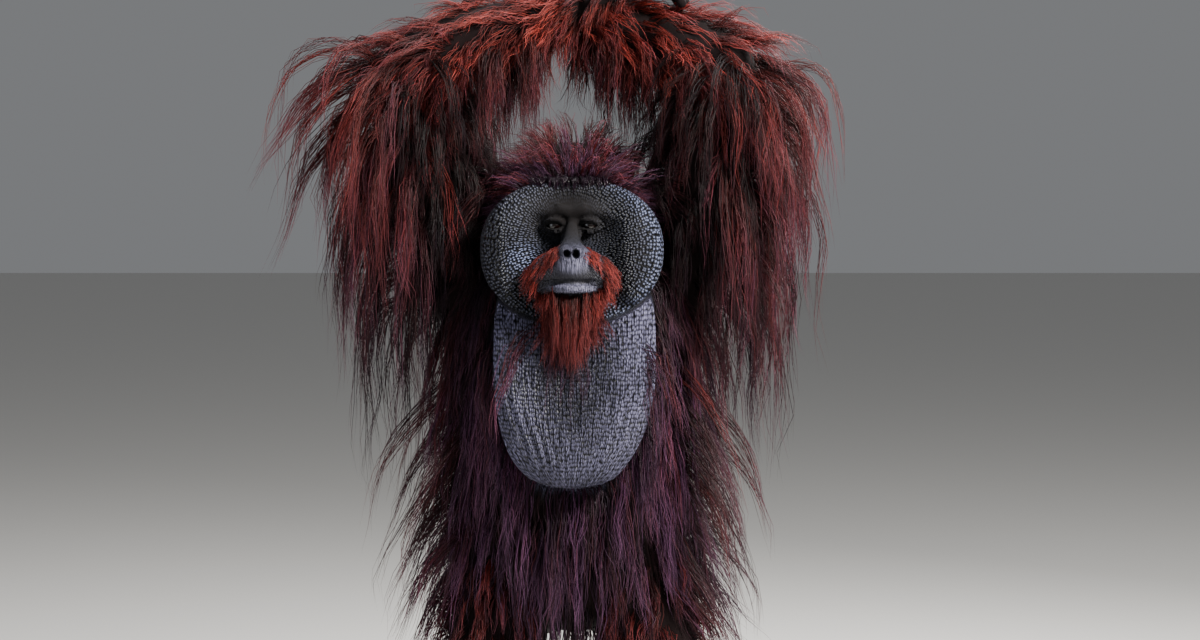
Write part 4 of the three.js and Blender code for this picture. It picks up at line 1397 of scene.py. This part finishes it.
def cap_lot(clumps, height, length, back, warmth, light):
    """Hair over the top and back of the skull, between two sines above the head's middle."""
    turn, sine = spread(0, CYCLE, clumps), spread(*height, clumps)
    out = dome(turn, sine)
    root = head_reach(out)
    keep = root[:, 1] > ROOT_Y
    root, out = root[keep], out[keep]
    heading = out + columns(out[:, 0] * 0.4, back, 0.1)
    return head_lot(
        root, out, heading, length=length, each=13, fall=0.45, rise=(5, 16), warmth=warmth,
        width=(1.1, 1.8), reach=14, bodies=[skull], light=light, bow=8, kink=1.5, **DRY
    )


# %% Coat of the nape and crown
out = dome(spread(0.1, 3.04, 80), spread(-0.3, 0.85, 80))
nape_root = out * [150, 122, 105] + [0, 28, 1000]
nape = head_lot(
    nape_root, out, out * 0.5 + DOWN, length=230, each=14, fall=0.8, rise=(10, 50), warmth=0.28,
    width=(1.5, 2.4), reach=26, bodies=[skull, torso], light=0.7, wave=8, bow=12, frizz=7,
    kink=1.6, points=6,
)
scalp = limb_lot(
    skull, clumps=95, each=14, u=(0.0, 0.97), around=(-10, 190), length=(190, 110), lie=-1.0,
    lift=(0.5, 0.5), fall=(0.9, 0.9), rise=(8, 40), width=(1.4, 2.2), warmth=(0.3, 0.35),
    light=0.75, reach=18, stray=0.25, bodies=[skull, torso], wave=6, bow=10, frizz=6, kink=1.5,
    points=6,
)
coat_piece("coat_nape", [nape, scalp], HAIR)
crown = [
    crown_lot(
        clumps=120, rim=(0.93, 1.0), y=(-84, -66), length=56, radial=0.9, sideways=0.5, back=0.15,
        warmth=0.06, light=0.9,
    ),
    crown_lot(
        clumps=100, rim=(0.8, 0.98), y=(-66, -20), length=84, radial=1.0, sideways=0.45, back=0.3,
        warmth=0.12, light=0.9,
    ),
    cap_lot(
        clumps=210, height=(0.35, 1.0), length=82, back=0.3, warmth=0.42, light=1.1,
    ),
]
coat_piece("coat_crown", crown, HAIR)

# %% [markdown]
# A short fringe of wet, dark hair lies on the brow, along the upper edge of the disc. It shines
# more than the rest, so it has a hair material of its own.

# %% Forelock
x = np.linspace(-62, 62, 38)
out = unit(columns(x, -136, 90 + spread(-4, 4, len(x))))
root = head_reach(out)
heading = columns(x / 150, -0.45, 1)
fore_lock = head_lot(
    root, out, heading, length=46, each=14, fall=1.3, rise=(3, 4), warmth=0.0, width=(1.4, 2.4),
    reach=6, bodies=[], light=0.2, wave=2, bow=3, frizz=1.5, kink=0.4, draw=0.9, points=5,
)
print("forelock from", root.min(0).round(), "to", root.max(0).round())
coat_piece("coat_forelock", [fore_lock], WET)

# %% [markdown]
# The beard grows from the chin below the lip and hangs straight over the sac, with a few thin
# strings below it. The moustache rings the muzzle but leaves the lips and nose bare. Roots are
# cast from a place inside the muzzle, and those that miss their region are dropped.

# %% Beard and moustache
CHIN_MIDDLE, MOUTH_MIDDLE = (0, -150, 1022), (0, -150, 1040)


def cast(centre, turn, tilt):
    """Roots on the muzzle, seen from the centre, and the directions out of it."""
    out = from_front(np.radians(turn), np.radians(tilt))
    return head_reach(out, centre), out


count = 170
root, out = cast(CHIN_MIDDLE, spread(195, 345, count), spread(8, 92, count))
below_lip = root[:, 2] < 1009 + 14 * (root[:, 0] / 50) ** 2
keep = below_lip & (root[:, 2] > 974) & (np.abs(root[:, 0]) < 66)
root, out = root[keep], out[keep]
t = root[:, 0] / 60
heading = columns(-0.42 * t, -0.25, -1) + out * [0.05, 0.25, 0.1]
beard = head_lot(
    root, out, heading, length=124 - 34 * t * t, each=15, fall=0.8, rise=(4, 18), warmth=0.66,
    width=(0.9, 1.6), reach=7, bodies=[sac], light=0.72, wave=4, bow=6, frizz=4, kink=0.9,
)
count = 34
t = spread(-1, 1, count)
root = columns(t * 34, -186, 985 + spread(-20, 10, count))
out = columns(0 * t, -1, 0)
heading = columns(-0.1 * t, -0.3, -1)
wisps = head_lot(
    root, out, heading, length=190, each=5, fall=0.8, rise=(2, 8), warmth=0.12, width=(0.9, 1.4),
    reach=10, bodies=[sac], light=0.6, wave=5, bow=4, frizz=5,
)
count = 400
turn, tilt = spread(-70, 66, count), spread(22, 88, count)
root, out = cast(MOUTH_MIDDLE, np.where(rng.random(count) < 0.5, turn, 180 - turn), tilt)
x, z = np.abs(root[:, 0]), root[:, 2]
bare_wide = 30 + 26 * soft_step(-z, -1072, -1040)
bare_lip = (x / bare_wide) ** 2 + ((z - 1046) / 44) ** 2 < 1
keep = ~bare_lip & (z < 1088) & (x < 72) & (x > 20)
root, out = root[keep], out[keep]
sideways = np.sign(root[:, 0]) * 0.3 * soft_step(root[:, 2], 1020, 1060)
heading = out * 0.8 + columns(sideways, 0, -0.9)
moustache = head_lot(
    root, out, heading, length=38, each=9, fall=0.6, rise=(3, 6), warmth=0.74, width=(0.8, 1.4),
    reach=6, bodies=[], light=1.05, wave=2, bow=3, frizz=3, kink=0.8, points=5,
)
print("clumps in the moustache:", len(root))
coat_piece("coat_beard", [beard, wisps, moustache], HAIR)
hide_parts("beard")

# %% [markdown]
# Soft studio light: a key above and to the right of the camera, a weak fill from the left,
# one overhead that lights the tops of the cheek pads, and a rim light from behind that edges
# the hair. The world gives only a little light, so that the gaps in the coat stay dark.

# %% Floor and lights
LIT_PLACE = [0, 0, 1050]
bpy.ops.mesh.primitive_plane_add(size=40)
floor = bpy.context.object
floor.name = "floor"
pale = Shader("floor_pale")
pale.set(Base_Color=colour(214, 212, 208), Roughness=0.85)
floor.data.materials.append(pale.material)


def soft_light(name, place, size, watts, tint):
    bpy.ops.object.light_add(type="AREA")
    light = bpy.context.object
    light.name = name
    light.data.shape = "DISK"
    light.data.size = size
    light.data.energy = watts
    light.data.color = tint
    aimed(light, placed(place), placed(LIT_PLACE))


soft_light("key", [2300, -1700, 3200], 1.0, 430, (1.0, 0.97, 0.92))
soft_light("fill", [-2600, -2400, 1500], 2.4, 24, (0.88, 0.93, 1.0))
soft_light("rim", [1600, 1700, 2400], 1.2, 110, (1.0, 0.97, 0.94))
soft_light("top", [-200, 500, 3600], 2.0, 110, (0.95, 0.97, 1.0))
world = bpy.data.worlds.new("studio")
world.use_nodes = True
background = world.node_tree.nodes["Background"]
background.inputs["Color"].default_value = (0.8, 0.82, 0.85, 1)
background.inputs["Strength"].default_value = 0.24
bpy.context.scene.world = world
